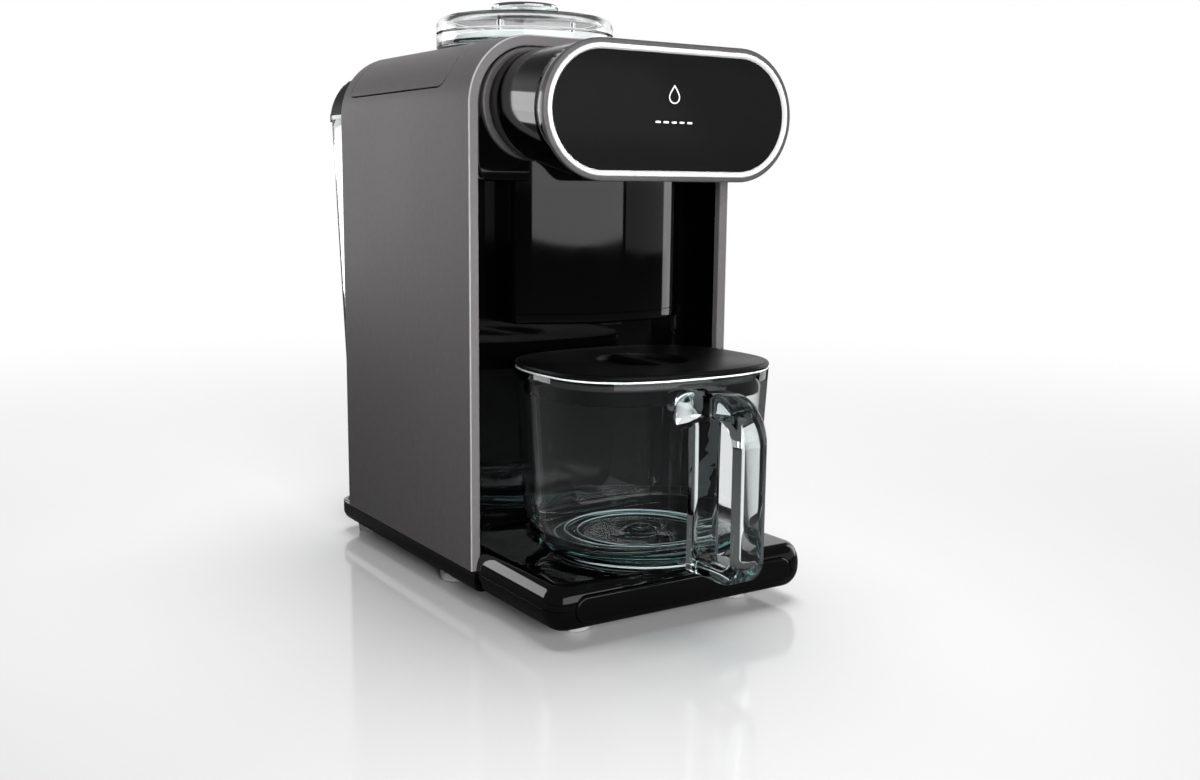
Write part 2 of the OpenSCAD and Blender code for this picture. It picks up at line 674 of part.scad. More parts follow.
// The dome's outer or inner surface as an outline to be turned.
module dome_outline(r, z_shoulder, z_crown, r_shoulder) polygon(concat(
    [[0, z_shoulder - 8], [r, z_shoulder - 8]],
    arc(r - r_shoulder, z_shoulder, r_shoulder, 0, 72, 6),
    [for (i = [1 : 5]) let (q = (r - r_shoulder) * (1 - i / 5))
        [q, z_crown - (z_crown - z_shoulder - r_shoulder) * pow(q / (r - r_shoulder), 2)]]
));

module hopper_lid() color([0.8, 0.9, 0.92, 0.4]) translate([0, hopper_y, 0]) difference() {
    rotate_extrude($fn = fine) dome_outline(hopper_r, dome_shoulder_z, dome_z, 6);
    rotate_extrude($fn = fine) dome_outline(hopper_r - jar_wall, dome_shoulder_z - 1, dome_z - jar_wall, 5);
    translate([0, 0, jar_z0]) cylinder(r = hopper_r + 1, h = jar_z1 + 0.3 - jar_z0, $fn = fine);
}

module hopper_knob() color([0.85, 0.85, 0.87]) translate([0, hopper_y, 0]) rotate_extrude($fn = fine)
    polygon(concat(
        [[0, dome_z], [7, dome_z], [6, dome_z + 1.6], [knob_r - 4, dome_z + 4.4]],
        arc(knob_r - 1.2, dome_z + 5.8, 1.2, -90, 90, 6),
        [[knob_r - 4, dome_z + 7.2], [0, dome_z + 7.5]]
    ));

module lid_plug() color([0.92, 0.92, 0.9]) translate([0, hopper_y, 0]) {
    translate([0, 0, plug_z1 - 6]) cylinder(r = plug_r, h = 6, $fn = fine);
    tube(plug_r, plug_r - 3, plug_z0, plug_z1 - 6);
}

module lid_posts() color("silver") translate([0, hopper_y, 0])
    for (a = [90 : 120 : 330]) rotate([0, 0, a]) translate([post_r, 0, plug_z1])
        cylinder(r = 1.8, h = dome_z - 4.6 - plug_z1);

// ---------------------------------------------------------------- tank and its lid

// The tank's outer or inner form: two round-cornered slabs joined by a hull.
module tank_solid(inset, z0, z1) hull() {
    translate([0, 0, z0]) linear_extrude(0.5)
        round_rect(inset - tank_w2, tank_w2 - inset, tank_front + inset, tank_foot - inset, 4, $fn = hull_fn);
    translate([0, 0, z1 - 0.5]) linear_extrude(0.5)
        round_rect(inset - tank_w2, tank_w2 - inset, tank_front + inset, tank_back - inset, 14,
                   $fn = hull_fn);
}

module water_tank() color([0.75, 0.88, 0.9, 0.4]) {
    difference() {
        tank_solid(0, tank_z0, tank_z1);
        tank_solid(2.5, tank_z0 + 2.5, tank_z1 + 1);
        translate([valve_x, valve_y, tank_z0 - 1]) cylinder(r = valve_r, h = 6);
    }
    // Two ears carry the lid's hinge pins.
    for (s = [-1, 1]) difference() {
        union() {
            block([s * ear_x - 2.6, tank_front + 0.3, tank_z1 - 4],
                  [s * ear_x + 2.6, lid_hinge_y + 2, lid_hinge_z]);
            rod_x(2.4, lid_hinge_y, lid_hinge_z, s * ear_x - 2.6, s * ear_x + 2.6);
        }
        rod_x(hinge_pin_r, lid_hinge_y, lid_hinge_z, s * ear_x - 4, s * ear_x + 4);
    }
}

module tank_hinge_pins() color("silver")
    for (s = [-1, 1]) rod_x(hinge_pin_r, lid_hinge_y, lid_hinge_z, s * 37 - 6.6, s * 37 + 6.6);

// The lid's side outline: hinge lip, flat top, quarter curve down to the rear rim.
module lid_profile(inset) {
    reach = lid_back - inset - lid_hinge_y;
    drop = lid_top_z - inset - tank_z1 - 3;
    polygon(concat(
        [[lid_back - inset, tank_z1 + 0.6 - inset]],
        [for (i = [0 : 12]) let (t = 90 * i / 12)
            [lid_hinge_y + reach * sgn_pow(cos(t), 0.9), tank_z1 + 3 + drop * sgn_pow(sin(t), 0.9)]],
        [[lid_hinge_y - barrel_r * 0.7 + inset, lid_top_z - inset - 0.9],
         [lid_hinge_y - barrel_r + inset, tank_z1 + 0.6 - inset]]
    ));
}

module tank_lid() color([0.02, 0.02, 0.02]) {
    difference() {
        intersection() {
            along_x(-100, 100) lid_profile(0);
            along_y(100, 200) arch(tank_w2, tank_z1 - 5, lid_top_z, 35);
        }
        intersection() {
            along_x(-100, 100) lid_profile(lid_wall);
            along_y(100, 200) arch(tank_w2 - lid_wall, tank_z1 - 5, lid_top_z - lid_wall, 35 - lid_wall);
        }
        // No front skirt between the side cheeks, and a notch for each ear.
        block([-77, 130, tank_z1 - 1], [77, lid_hinge_y + 2, lid_hinge_z - 3.4]);
        for (s = [-1, 1])
            block([s * ear_x - 3.1, 130, tank_z1], [s * ear_x + 3.1, lid_hinge_y + 4.4, lid_top_z + 1]);
        for (s = [-1, 1]) rod_x(hinge_pin_r + run, lid_hinge_y, lid_hinge_z, s * 40.1 - 4.2, s * 40.1 + 4.2);
    }
    for (s = [-1, 1]) difference() {
        rod_x(barrel_r - 0.1, lid_hinge_y, lid_hinge_z, s * 40.1 - 4, s * 40.1 + 4);
        rod_x(hinge_pin_r + run, lid_hinge_y, lid_hinge_z, s * 40.1 - 5, s * 40.1 + 5);
    }
}

module tank_valve() color([0.9, 0.9, 0.88]) translate([valve_x, valve_y, 0]) difference() {
    union() {
        translate([0, 0, tank_z0 - 7]) cylinder(r = valve_r, h = 12);
        translate([0, 0, tank_z0 + 2.5]) cylinder(r = valve_r + 0.4, h = 1.5);
    }
    translate([0, 0, tank_z0 - 8]) cylinder(r = valve_r / 2, h = 20);
}

module tank_seal() color([0.1, 0.1, 0.1]) translate([valve_x, valve_y, 0])
    tube(seal_r, valve_r, tank_z0 - 5.5, tank_z0 - 3.5);

module tank_seat() color([0.03, 0.03, 0.03]) difference() {
    block([-76, seat_front, floor_z], [76, seat_back, tank_z0 - 0.6]);
    translate([valve_x, valve_y, tank_z0 - 10]) cylinder(r = seal_r + gap, h = 20);
    rod_y(valve_r / 2, valve_x, hose_turn.z, seat_front - 1, valve_y);
}

// ---------------------------------------------------------------- carafe

module carafe_jug() color([0.75, 0.9, 0.92, 0.4]) {
    difference() {
        union() {
            hull() {
                oval_slab(jug_a, jug_b, 2.85, jug_z1 - 0.5, jug_z1);
                oval_slab(jug_a - 4, jug_b - 3, 2.6, 47, 47.5);
                oval_slab(57, 52, 2.1, 38, 38.5);
            }
            translate([0, jug_y, deck_z + 0.3]) cylinder(r = 50, h = 4.5, $fn = fine);
            handle();
        }
        hull() {
            oval_slab(jug_a - glass_t, jug_b - glass_t, 2.85, jug_z1, jug_z1 + 1);
            oval_slab(jug_a - 4 - glass_t, jug_b - 3 - glass_t, 2.6, 50, 50.5);
            oval_slab(55 - glass_t, 50 - glass_t, 2.1, 43, 43.5);
        }
        translate([0, jug_y, deck_z - 1]) cylinder(r = 41, h = 3, $fn = fine);
    }
}

// A moulded glass loop that points straight forward, with a flared root at its top.
module handle() {
    back = jug_y - jug_b + 3;
    along_x(-handle_w / 2, handle_w / 2) difference() {
        polygon(concat(
            [[back, deck_z]],
            arc(handle_front + 14, deck_z + 14, 14, 270, 180),
            arc(handle_front + 24, 130 - 24, 24, 180, 90),
            [[back, 133]]
        ));
        polygon(concat(
            arc(handle_front + 8 + 6, 50, 6, 270, 180),
            arc(handle_front + 8 + 14, 120 - 14, 14, 180, 90),
            [[back - 7, 120], [back - 7, 44]]
        ));
    }
    along_y(back - 4, back + 1) round_rect(-18, 18, 116, 134, 6);
}

module carafe_lid() color([0.03, 0.03, 0.03]) difference() {
    union() {
        oval_slab(jug_a, jug_b, 2.85, jug_z1 + seam_in, jug_z1 + 3);
        oval_slab(jug_a - skirt_in, jug_b - skirt_in, 2.85, jug_z1 - 14, jug_z1 + seam_in);
    }
    oval_slab(jug_a - skirt_in - 2.6, jug_b - skirt_in - 2.6, 2.85, jug_z1 - 15, jug_z1 - 2.5);
    // A round finger recess either side of a central grip.
    translate([0, jug_y, jug_z1 - 0.5]) difference() {
        cylinder(r = 26, h = 10, $fn = fine);
        block([-5, -30, -1], [5, 30, 3.5]);
    }
}

module carafe_lid_seal() color([0.1, 0.1, 0.1]) difference() {
    oval_slab(jug_a - glass_t - 0.7, jug_b - glass_t - 0.7, 2.85, jug_z1 - 6, jug_z1 - 3.5);
    oval_slab(jug_a - skirt_in, jug_b - skirt_in, 2.85, jug_z1 - 7, jug_z1 - 2);
}

outer_shell();
base_pan();
rear_cover();
front_fascia();
top_deck();
cavity_liner();
column_cover();
head_housing();
head_collar();
head_bezel();
head_trim_ring();
control_glass();
control_board();
tray_base();
warming_plate();
rubber_feet();
case_screws();
hinge_pin();
motor();
motor_bracket();
chamber();
chamber_heater();
chamber_seal();
shaft_bushing();
water_pump();
flow_heater();
thermal_fuse();
water_hoses();
outlet_pipe();
drain_valve();
dispensing_nozzle();
power_board();
cord_gland();
tank_seat();
blade();
blade_shaft();
drive_coupling();
hood_cover();
hopper_jar();
hopper_gasket();
hopper_lid();
hopper_knob();
lid_plug();
lid_posts();
water_tank();
tank_valve();
tank_seal();
tank_hinge_pins();
tank_lid();
drip_drawer();
drawer_front();
carafe_jug();
carafe_lid();
carafe_lid_seal();
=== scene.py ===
"""Looks of a counter-top electric brewer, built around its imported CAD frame.

+Z is up and -Y is the front. Shapes are worked out in millimetres and scaled once, in add_mesh and soften;
the floor, the lamps and the camera are in metres. Every visible piece is a closed mesh made here from
outlines, edge profiles and lofts. The machine's inner works keep their CAD meshes and get materials.
"""
import math

import bmesh
import bpy
import numpy as np
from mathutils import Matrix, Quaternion, Vector


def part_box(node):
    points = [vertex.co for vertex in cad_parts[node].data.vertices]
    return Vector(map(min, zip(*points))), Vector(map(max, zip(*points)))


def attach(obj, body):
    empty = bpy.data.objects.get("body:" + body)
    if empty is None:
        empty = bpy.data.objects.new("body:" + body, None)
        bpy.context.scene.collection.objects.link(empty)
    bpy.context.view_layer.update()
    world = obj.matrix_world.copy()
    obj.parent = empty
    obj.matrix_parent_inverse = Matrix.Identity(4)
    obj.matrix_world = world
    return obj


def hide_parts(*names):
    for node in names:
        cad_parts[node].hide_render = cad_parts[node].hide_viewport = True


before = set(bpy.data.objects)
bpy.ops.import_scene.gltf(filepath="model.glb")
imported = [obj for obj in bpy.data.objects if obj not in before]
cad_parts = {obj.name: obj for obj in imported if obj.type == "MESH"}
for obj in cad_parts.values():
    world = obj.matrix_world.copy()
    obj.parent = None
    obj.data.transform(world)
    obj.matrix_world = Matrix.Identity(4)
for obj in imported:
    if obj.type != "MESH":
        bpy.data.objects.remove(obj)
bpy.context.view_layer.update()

MM = 0.001
ARC = 12  # segments in a rounded corner of an outline
AXIS = 0.0005  # radius at which a turned profile ends instead of on its axis


def box(name):
    """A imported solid's lowest and highest corner, in millimetres."""
    return [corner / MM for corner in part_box(name)]


# ------------------------------------------------------------------ outlines
# An outline is a function of its inset that returns the same number of 2-D points each time.


def arc_points(cx, cy, r, start, stop, steps):
    """Points of an arc, angles in degrees."""
    angles = np.radians(np.linspace(start, stop, steps + 1))
    return [(cx + r * math.cos(a), cy + r * math.sin(a)) for a in angles]


def circle(cx, cy, r, steps):
    """A closed outline of evenly spaced points."""
    return np.array(arc_points(cx, cy, r, 0, 360, steps)[:-1])


def round_rect(x0, x1, y0, y1, radius, steps=ARC):
    """A rectangle with rounded corners."""

    def outline(inset):
        r = max(radius - inset, 0.2)
        a0, a1, b0, b1 = x0 + inset, x1 - inset, y0 + inset, y1 - inset
        return np.array(
            arc_points(a1 - r, b0 + r, r, -90, 0, steps)
            + arc_points(a1 - r, b1 - r, r, 0, 90, steps)
            + arc_points(a0 + r, b1 - r, r, 90, 180, steps)
            + arc_points(a0 + r, b0 + r, r, 180, 270, steps)
        )

    return outline


def stadium(half_w, z0, z1, steps=32):
    """A flat-sided outline with half-round ends."""

    def outline(inset):
        r = (z1 - z0) / 2 - inset
        cx, cz = half_w - inset - r, (z0 + z1) / 2
        return np.array(arc_points(cx, cz, r, -90, 90, steps) + arc_points(-cx, cz, r, 90, 270, steps))

    return outline


def arch(half_w, z0, z1, radius, steps=24):
    """An open doorway path from the left foot over the top to the right foot."""

    def outline(inset):
        r = max(radius - inset, 0.2)
        w, top = half_w - inset, z1 - inset
        return np.array(
            [(-w, z0)]
            + arc_points(r - w, top - r, r, 180, 90, steps)
            + arc_points(w - r, top - r, r, 90, 0, steps)
            + [(w, z0)]
        )

    return outline


def oval(a, b, power, steps=96):
    """A squarish oval, |x/a|^p + |y/b|^p = 1."""
    points = []
    for i in range(steps):
        t = 2 * math.pi * i / steps
        c, s = math.cos(t), math.sin(t)
        x, y = math.copysign(abs(c) ** (2 / power), c), math.copysign(abs(s) ** (2 / power), s)
        points.append((a * x, b * y))
    return np.array(points)


def fillet(inset, depth, radius, start, stop, steps=5):
    """Profile points (inset, depth) round a quarter circle, angles in degrees."""
    return arc_points(inset, depth, radius, start, stop, steps)


# ------------------------------------------------------------------ meshes

SHARP = 38.0  # degrees above which an edge stays sharp


def new_object(name, data):
    thing = bpy.data.objects.new(name, data)
    bpy.context.scene.collection.objects.link(thing)
    return thing


def add_mesh(name, verts, faces, look, body, replaces=(), sharp=SHARP):
    """A smooth-shaded object with sharp edges kept; without a body it is a boolean tool."""
    mesh = bpy.data.meshes.new(name)
    mesh.from_pydata([[c * MM for c in v] for v in verts], [], [tuple(f) for f in faces])
    mesh.validate()
    piece = new_object(name, mesh)
    tidy_mesh(piece, sharp)
    dress(piece, look, body, replaces)
    return piece


def dress(piece, look, body, replaces=()):
    """Gives a piece its material and, on a body, its place in the frame."""
    piece.data.materials.clear()
    piece.data.materials.append(MAT[look])
    if body:
        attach(piece, body)
        if replaces:
            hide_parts(*replaces)


def tidy_mesh(piece, sharp=SHARP):
    """Outward normals, smooth faces, sharp edges above an angle."""
    mesh = piece.data
    work = bmesh.new()
    work.from_mesh(mesh)
    bmesh.ops.remove_doubles(work, verts=work.verts, dist=1e-6)
    bmesh.ops.dissolve_degenerate(work, edges=work.edges, dist=1e-7)
    bmesh.ops.recalc_face_normals(work, faces=work.faces)
    work.to_mesh(mesh)
    work.free()
    smooth(mesh, sharp)
    mesh.update()


def smooth(mesh, sharp=SHARP):
    mesh.polygons.foreach_set("use_smooth", [True] * len(mesh.polygons))
    mesh.set_sharp_from_angle(angle=math.radians(sharp))


def rings_to_faces(count, size, close_ring=True, close_path=False, caps=True):
    """Quads between successive rings of equal size, with end caps."""
    faces = []
    around = size if close_ring else size - 1
    spans = count if close_path else count - 1
    for i in range(spans):
        a, b = i * size, ((i + 1) % count) * size
        for j in range(around):
            k = (j + 1) % size
            faces.append((a + j, a + k, b + k, b + j))
    if caps and not close_path and close_ring:
        faces.append(tuple(range(size))[::-1])
        faces.append(tuple(range((count - 1) * size, count * size)))
    if close_path and not close_ring:
        faces.append(tuple(i * size for i in range(count)))
        faces.append(tuple(i * size + size - 1 for i in range(count))[::-1])
    return faces


def along_x(p, depth):
    """Places a (y, z) outline at an x."""
    return [(depth, y, z) for y, z in p]


def along_y(p, depth):
    """Places an (x, z) outline at a depth along Y."""
    return [(x, depth, z) for x, z in p]


def along_z(p, depth):
    """Places an (x, y) outline at a height."""
    return [(x, y, depth) for x, y in p]


def sweep(name, outline, profile, place, look, body, replaces=(), ring=True, loop=False, sharp=SHARP):
    """Carries an edge profile of (inset, depth) pairs round an outline."""
    rings = [place(outline(inset), depth) for inset, depth in profile]
    return loft(name, rings, look, body, replaces, sharp, ring=ring, loop=loop)


def slab_profile(d0, d1, r0, r1, steps=5):
    """Profile of a solid from depth d0 to d1 with rounded end edges."""
    return fillet(r0, d0 + r0, r0, 270, 180, steps) + fillet(r1, d1 - r1, r1, 180, 90, steps)


def loft(name, rings, look, body, replaces=(), sharp=SHARP, ring=True, loop=False):
    """A closed solid through rings of equal size; a loop joins the last ring to the first."""
    verts = [v for r in rings for v in r]
    faces = rings_to_faces(len(rings), len(rings[0]), close_ring=ring, close_path=loop)
    return add_mesh(name, verts, faces, look, body, replaces, sharp)


def lathe(name, profile, centre, look, body, replaces=(), steps=96):
    """Turns a closed (radius, height) outline about an upright axis."""
    verts, faces = [], []
    count = len(profile)
    for i in range(steps):
        c, s = math.cos(2 * math.pi * i / steps), math.sin(2 * math.pi * i / steps)
        verts += [(centre[0] + r * c, centre[1] + r * s, z) for r, z in profile]
    for i in range(steps):
        a, b = i * count, ((i + 1) % steps) * count
        for j in range(count):
            k = (j + 1) % count
            faces.append((a + j, b + j, b + k, a + k))
    return add_mesh(name, verts, faces, look, body, replaces)


def prism(name, points, place, d0, d1):
    """A plain prism, used as a boolean tool or dressed later."""
    return loft(name, [place(points, d0), place(points, d1)], "black_matte", None)


def cut(piece, cutter, operation="DIFFERENCE"):
    """Applies a boolean and removes the cutter."""
    mod = piece.modifiers.new("cut", "BOOLEAN")
    mod.operation = operation
    mod.solver = "EXACT"
    mod.object = cutter
    bake_modifiers(piece)
    bpy.data.objects.remove(cutter)


def bake_modifiers(piece):
    """Turns the modifiers' result into the piece's own mesh."""
    graph = bpy.context.evaluated_depsgraph_get()
    mesh = bpy.data.meshes.new_from_object(piece.evaluated_get(graph))
    piece.modifiers.clear()
    piece.data = mesh


def soften(piece, width, segments=2, angle=40.0):
    """Rounds the remaining hard edges."""
    mod = piece.modifiers.new("soften", "BEVEL")
    mod.width = width * MM
    mod.segments = segments
    mod.limit_method = "ANGLE"
    mod.angle_limit = math.radians(angle)
    mod.harden_normals = True


# ------------------------------------------------------------------ materials

MAT = {}
WHITE = (1, 1, 1, 1)


class Nodes:
    """One node tree, with short words for what the looks need. Sockets take numbers or outputs."""

    def __init__(self, owner, shader, output):
        owner.use_nodes = True
        self.nodes, self.links = owner.node_tree.nodes, owner.node_tree.links
        self.shader, self.output = self.nodes[shader], self.nodes[output]

    def put(self, node, socket, value):
        if isinstance(value, bpy.types.NodeSocket):
            self.links.new(value, node.inputs[socket])
        else:
            node.inputs[socket].default_value = value

    def set(self, node, **inputs):
        for name, value in inputs.items():
            self.put(node, name.replace("_", " "), value)

    def add(self, kind, **inputs):
        node = self.nodes.new("ShaderNode" + kind)
        self.set(node, **inputs)
        return node

    def calc(self, operation, *values, kind="Math"):
        node = self.add(kind)
        node.operation = operation
        for i, value in enumerate(values):
            self.put(node, i, value)
        return node.outputs["Value"]

    def noise(self, scale, detail=4.0, roughness=0.5, stretch=(1, 1, 1)):
        """Object-space noise, stretched along an axis where asked."""
        coords = self.add("TexCoord").outputs["Object"]
        spot = self.add("Mapping", Scale=stretch, Vector=coords).outputs["Vector"]
        return self.add("TexNoise", Scale=scale, Detail=detail, Roughness=roughness, Vector=spot).outputs["Fac"]

    def spread(self, value, low, high, from_low=0.3, from_high=0.7, curve="LINEAR"):
        """Maps a value between two limits to a range."""
        node = self.add("MapRange", Value=value, From_Min=from_low, From_Max=from_high, To_Min=low, To_Max=high)
        node.interpolation_type = curve
        return node.outputs["Result"]

    def ease(self, value, from_low, from_high, low, high):
        return self.spread(value, low, high, from_low, from_high, "SMOOTHSTEP")

    def tint(self, factor, dark, light):
        """Blends two colours by a factor."""
        ramp = self.add("ValToRGB", Fac=factor)
        for stop, colour in zip(ramp.color_ramp.elements, (dark, light)):
            stop.color = (*colour, 1)
        return ramp.outputs["Color"]

    def mix(self, factor, first, second):
        """Lays one colour over another."""
        node = self.add("Mix")
        node.data_type = "RGBA"
        for socket, value in ((0, factor), (6, first), (7, second)):
            self.put(node, socket, value)
        return node.outputs[2]

    def surface(self, factor, first, second):
        """Sends a mix of two shaders to the output."""
        node = self.add("MixShader", Fac=factor)
        self.put(node, 1, first.outputs[0])
        self.put(node, 2, second.outputs[0])
        self.put(self.output, "Surface", node.outputs["Shader"])

    def bump(self, height, strength, distance):
        node = self.add("Bump", Strength=strength, Distance=distance, Height=height)
        self.set(self.shader, Normal=node.outputs["Normal"])

    def edge_wear_and_highlight(self, amount):
        """A mask of the convex edges, broken up by noise: partly wear, partly a painted highlight."""
        edges = self.spread(self.add("NewGeometry").outputs["Pointiness"], 0.0, amount, 0.505, 0.56)
        return self.calc("MULTIPLY", edges, self.spread(self.noise(260.0), 0.2, 1.0))

    def seen_directly(self):
        """1 for rays from the camera or straight through glass, 0 once a ray was reflected."""
        path = self.add("LightPath").outputs
        open_way = self.calc("MAXIMUM", path["Is Camera Ray"], path["Is Transmission Ray"])
        return self.calc("MULTIPLY", open_way, self.calc("LESS_THAN", path["Glossy Depth"], 0.5))


def new_look(name):
    MAT[name] = bpy.data.materials.new(name)
    return Nodes(MAT[name], "Principled BSDF", "Material Output")


def painted(name, dark, light, metal, rough_low, rough_high, wear_and_highlight=0.25, grain=0.05):
    """Satin paint or lacquered metal: fine flake, soft cloudiness, edges lighter partly from wear and partly as
    a painted highlight.
    """
    look = new_look(name)
    cloud, speck = look.noise(9.0, 3.0), look.noise(1400.0, 2.0)
    flake = look.calc("MULTIPLY_ADD", speck, 0.6, look.spread(cloud, 0.1, 0.3))
    colour = look.tint(look.spread(flake, 0, 1, 0.3, 0.8), dark, light)
    worn_and_highlit = (*[min(1.0, c * 2.2) for c in light], 1)
    look.set(
        look.shader, Base_Color=look.mix(look.edge_wear_and_highlight(wear_and_highlight), colour, worn_and_highlit), Metallic=metal,
        Roughness=look.spread(cloud, rough_low, rough_high), Coat_Weight=0.0, Coat_Roughness=0.25,
    )
    look.bump(speck, grain, 0.0004)


def gloss_black(name, base, rough_low=0.03, rough_high=0.09, ior=1.5):
    """Piano-black moulding with faint smears and dust-fine specks in the gloss."""
    look = new_look(name)
    smear, dust = look.noise(14.0, 5.0, 0.6, (1, 1, 0.35)), look.noise(900.0, 2.0)
    colour = look.tint(look.spread(dust, 0, 1, 0.62, 0.8), base, [c * 1.8 + 0.0004 for c in base])
    look.set(look.shader, Base_Color=colour, Roughness=look.spread(smear, rough_low, rough_high), IOR=ior)
    look.bump(look.noise(30.0, 2.0), 0.02, 0.0004)


def moulded(name, dark, light, rough_low, rough_high, grain=0.25, scale=1800.0):
    """Matte moulding or rubber with a fine spark-eroded texture."""
    look = new_look(name)
    cloud = look.noise(22.0, 4.0)
    colour = look.tint(cloud, dark, light)
    look.set(look.shader, Base_Color=colour, Roughness=look.spread(cloud, rough_low, rough_high))
    look.bump(look.noise(scale, 3.0), grain, 0.0002)


def metal(name, colour, rough_low, rough_high, stretch=(1, 1, 1), scale=500.0, grain=0.04):
    """Bare or plated metal; a stretched noise gives it a brushed lay."""
    look = new_look(name)
    lay = look.noise(scale, 3.0, 0.5, stretch)
    stained = look.tint(look.noise(12.0, 4.0), [c * 0.9 for c in colour], colour)
    look.set(look.shader, Base_Color=stained, Metallic=1.0, Roughness=look.spread(lay, rough_low, rough_high))
    look.bump(lay, grain, 0.0001)


def clear(name, absorb, density, ior, ripple):
    """Clear glass or plastic, tinted by its depth, that lets lamps through."""
    look = new_look(name)
    smear = look.spread(look.noise(18.0, 4.0), 0.0, 0.006)
    look.set(look.shader, Base_Color=WHITE, Transmission_Weight=1.0, IOR=ior, Roughness=smear)
    look.bump(look.noise(16.0, 2.0, 0.5, (1, 1, 0.4)), ripple, 0.002)
    lamps = look.add("BsdfTransparent", Color=(0.93, 0.965, 0.965, 1))
    look.surface(look.add("LightPath").outputs["Is Shadow Ray"], look.shader, lamps)
    volume = look.add("VolumeAbsorption", Color=(*absorb, 1), Density=density)
    look.set(look.output, Volume=volume.outputs["Volume"])


painted("shell_paint", (0.112, 0.107, 0.109), (0.120, 0.114, 0.117), 0.2, 0.40, 0.46, 0.12, 0.012)
painted("trim_grey", (0.070, 0.067, 0.069), (0.095, 0.091, 0.093), 0.5, 0.30, 0.40)
# Near-white ring along the jug's mouth: a painted highlight of the glass rim.
painted("painted_rim_highlight", (0.78, 0.83, 0.83), (0.86, 0.90, 0.90), 0.1, 0.10, 0.16, 0.02, 0.005)
# Pale strip along the shell's front outer edge: a painted highlight of that edge.
painted("painted_edge_highlight", (0.27, 0.26, 0.265), (0.29, 0.28, 0.285), 0.2, 0.40, 0.46, 0.02, 0.01)
# Teal-grey strips: on the jug's floor and foot rings a painted glint, on the tank the band under its lid.
painted("painted_glint_and_tank_band", (0.30, 0.36, 0.36), (0.40, 0.46, 0.46), 0.1, 0.10, 0.16, 0.02, 0.005)
# The chrome trim ring as near-white half-metal paint: a painted reflection.
painted("chrome_painted_white", (0.86, 0.86, 0.87), (0.92, 0.92, 0.93), 0.45, 0.14, 0.20, 0.02, 0.005)
gloss_black("black_gloss", (0.0006, 0.0006, 0.0007))
gloss_black("barrel_gloss", (0.0006, 0.0006, 0.0007), 0.08, 0.11)
gloss_black("panel_glass", (0.0062, 0.0062, 0.0064), 0.12, 0.20, 1.12)
moulded("black_matte", (0.0010, 0.0010, 0.0011), (0.0022, 0.0022, 0.0024), 0.34, 0.46, 0.12)
moulded("lid_black", (0.0014, 0.0014, 0.0015), (0.0026, 0.0026, 0.0028), 0.34, 0.42, 0.06)
moulded("frosted_white", (0.74, 0.75, 0.74), (0.82, 0.83, 0.82), 0.35, 0.5, 0.08, 700.0)
moulded("rubber_black", (0.012, 0.012, 0.012), (0.022, 0.022, 0.022), 0.6, 0.75, 0.3, 900.0)
moulded("rubber_grey", (0.30, 0.30, 0.31), (0.38, 0.38, 0.39), 0.35, 0.5, 0.15, 900.0)
moulded("silicone", (0.66, 0.66, 0.64), (0.74, 0.74, 0.72), 0.4, 0.55, 0.1, 700.0)
moulded("board_green", (0.012, 0.075, 0.035), (0.02, 0.11, 0.05), 0.3, 0.4, 0.2, 500.0)
moulded("ink", (0.62, 0.62, 0.62), (0.72, 0.72, 0.72), 0.4, 0.5, 0.1, 900.0)
metal("chrome", (0.92, 0.92, 0.93), 0.05, 0.11, scale=300.0, grain=0.01)
metal("steel", (0.60, 0.60, 0.61), 0.18, 0.34, (1, 1, 12), 420.0, 0.08)
metal("aluminium", (0.62, 0.62, 0.64), 0.34, 0.5, (1, 1, 1), 800.0, 0.12)
metal("brass", (0.66, 0.48, 0.20), 0.2, 0.35, (1, 1, 10), 400.0)
metal("motor_steel", (0.42, 0.43, 0.45), 0.3, 0.45, (1, 1, 8), 300.0, 0.1)
clear("clear_glass", (0.62, 0.90, 0.89), 16.0, 1.50, 0.035)
clear("clear_plastic", (0.66, 0.91, 0.90), 9.0, 1.45, 0.015)

# Satin and clear surfaces reflect less than bare ones.
SPECULAR = {"shell_paint": 0.05, "black_matte": 0.18, "lid_black": 0.025, "painted_edge_highlight": 0.1, "clear_glass": 0.55}
for name, level in SPECULAR.items():
    MAT[name].node_tree.nodes["Principled BSDF"].inputs["Specular IOR Level"].default_value = level


# ------------------------------------------------------------------ places read from the frame

shell_lo, shell_hi = box("outer_shell")
head_lo, head_hi = box("head_bezel")
column_lo, column_hi = box("column_cover")
base_lo, base_hi = box("tray_base")
pan_lo, pan_hi = box("base_pan")
tank_lo, tank_hi = box("water_tank")
lid_lo, lid_hi = box("tank_lid")
jug_lo = box("carafe_jug")[0]
cap_lo, cap_hi = box("carafe_lid")
jar_lo, jar_hi = box("hopper_jar")
dome_lo, dome_hi = box("hopper_lid")
knob_lo, knob_hi = box("hopper_knob")
hood_lo, hood_hi = box("hood_cover")
pin_lo, pin_hi = box("hinge_pin")

SHELL_W2 = shell_hi.x
SHELL_FRONT = shell_lo.y
SHELL_BACK = shell_hi.y
SHELL_Z0 = shell_lo.z
ROOF_Z = box("hopper_gasket")[0].z
SHELL_R = 39
SHELL_T = 3
RIM_T = 6
HINGE_X = (pin_lo.x + pin_hi.x) / 2
HINGE_Z = (pin_lo.z + pin_hi.z) / 2
HOPPER = ((jar_lo.x + jar_hi.x) / 2, (jar_lo.y + jar_hi.y) / 2)
HOPPER_R = (jar_hi.x - jar_lo.x) / 2
JUG = (0.0, (cap_lo.y + cap_hi.y) / 2)


# ------------------------------------------------------------------ shell and hood


HOOD_Z0 = hood_lo.z
HOOD_FRONT = hood_lo.y
HOOD_BACK = hood_hi.y


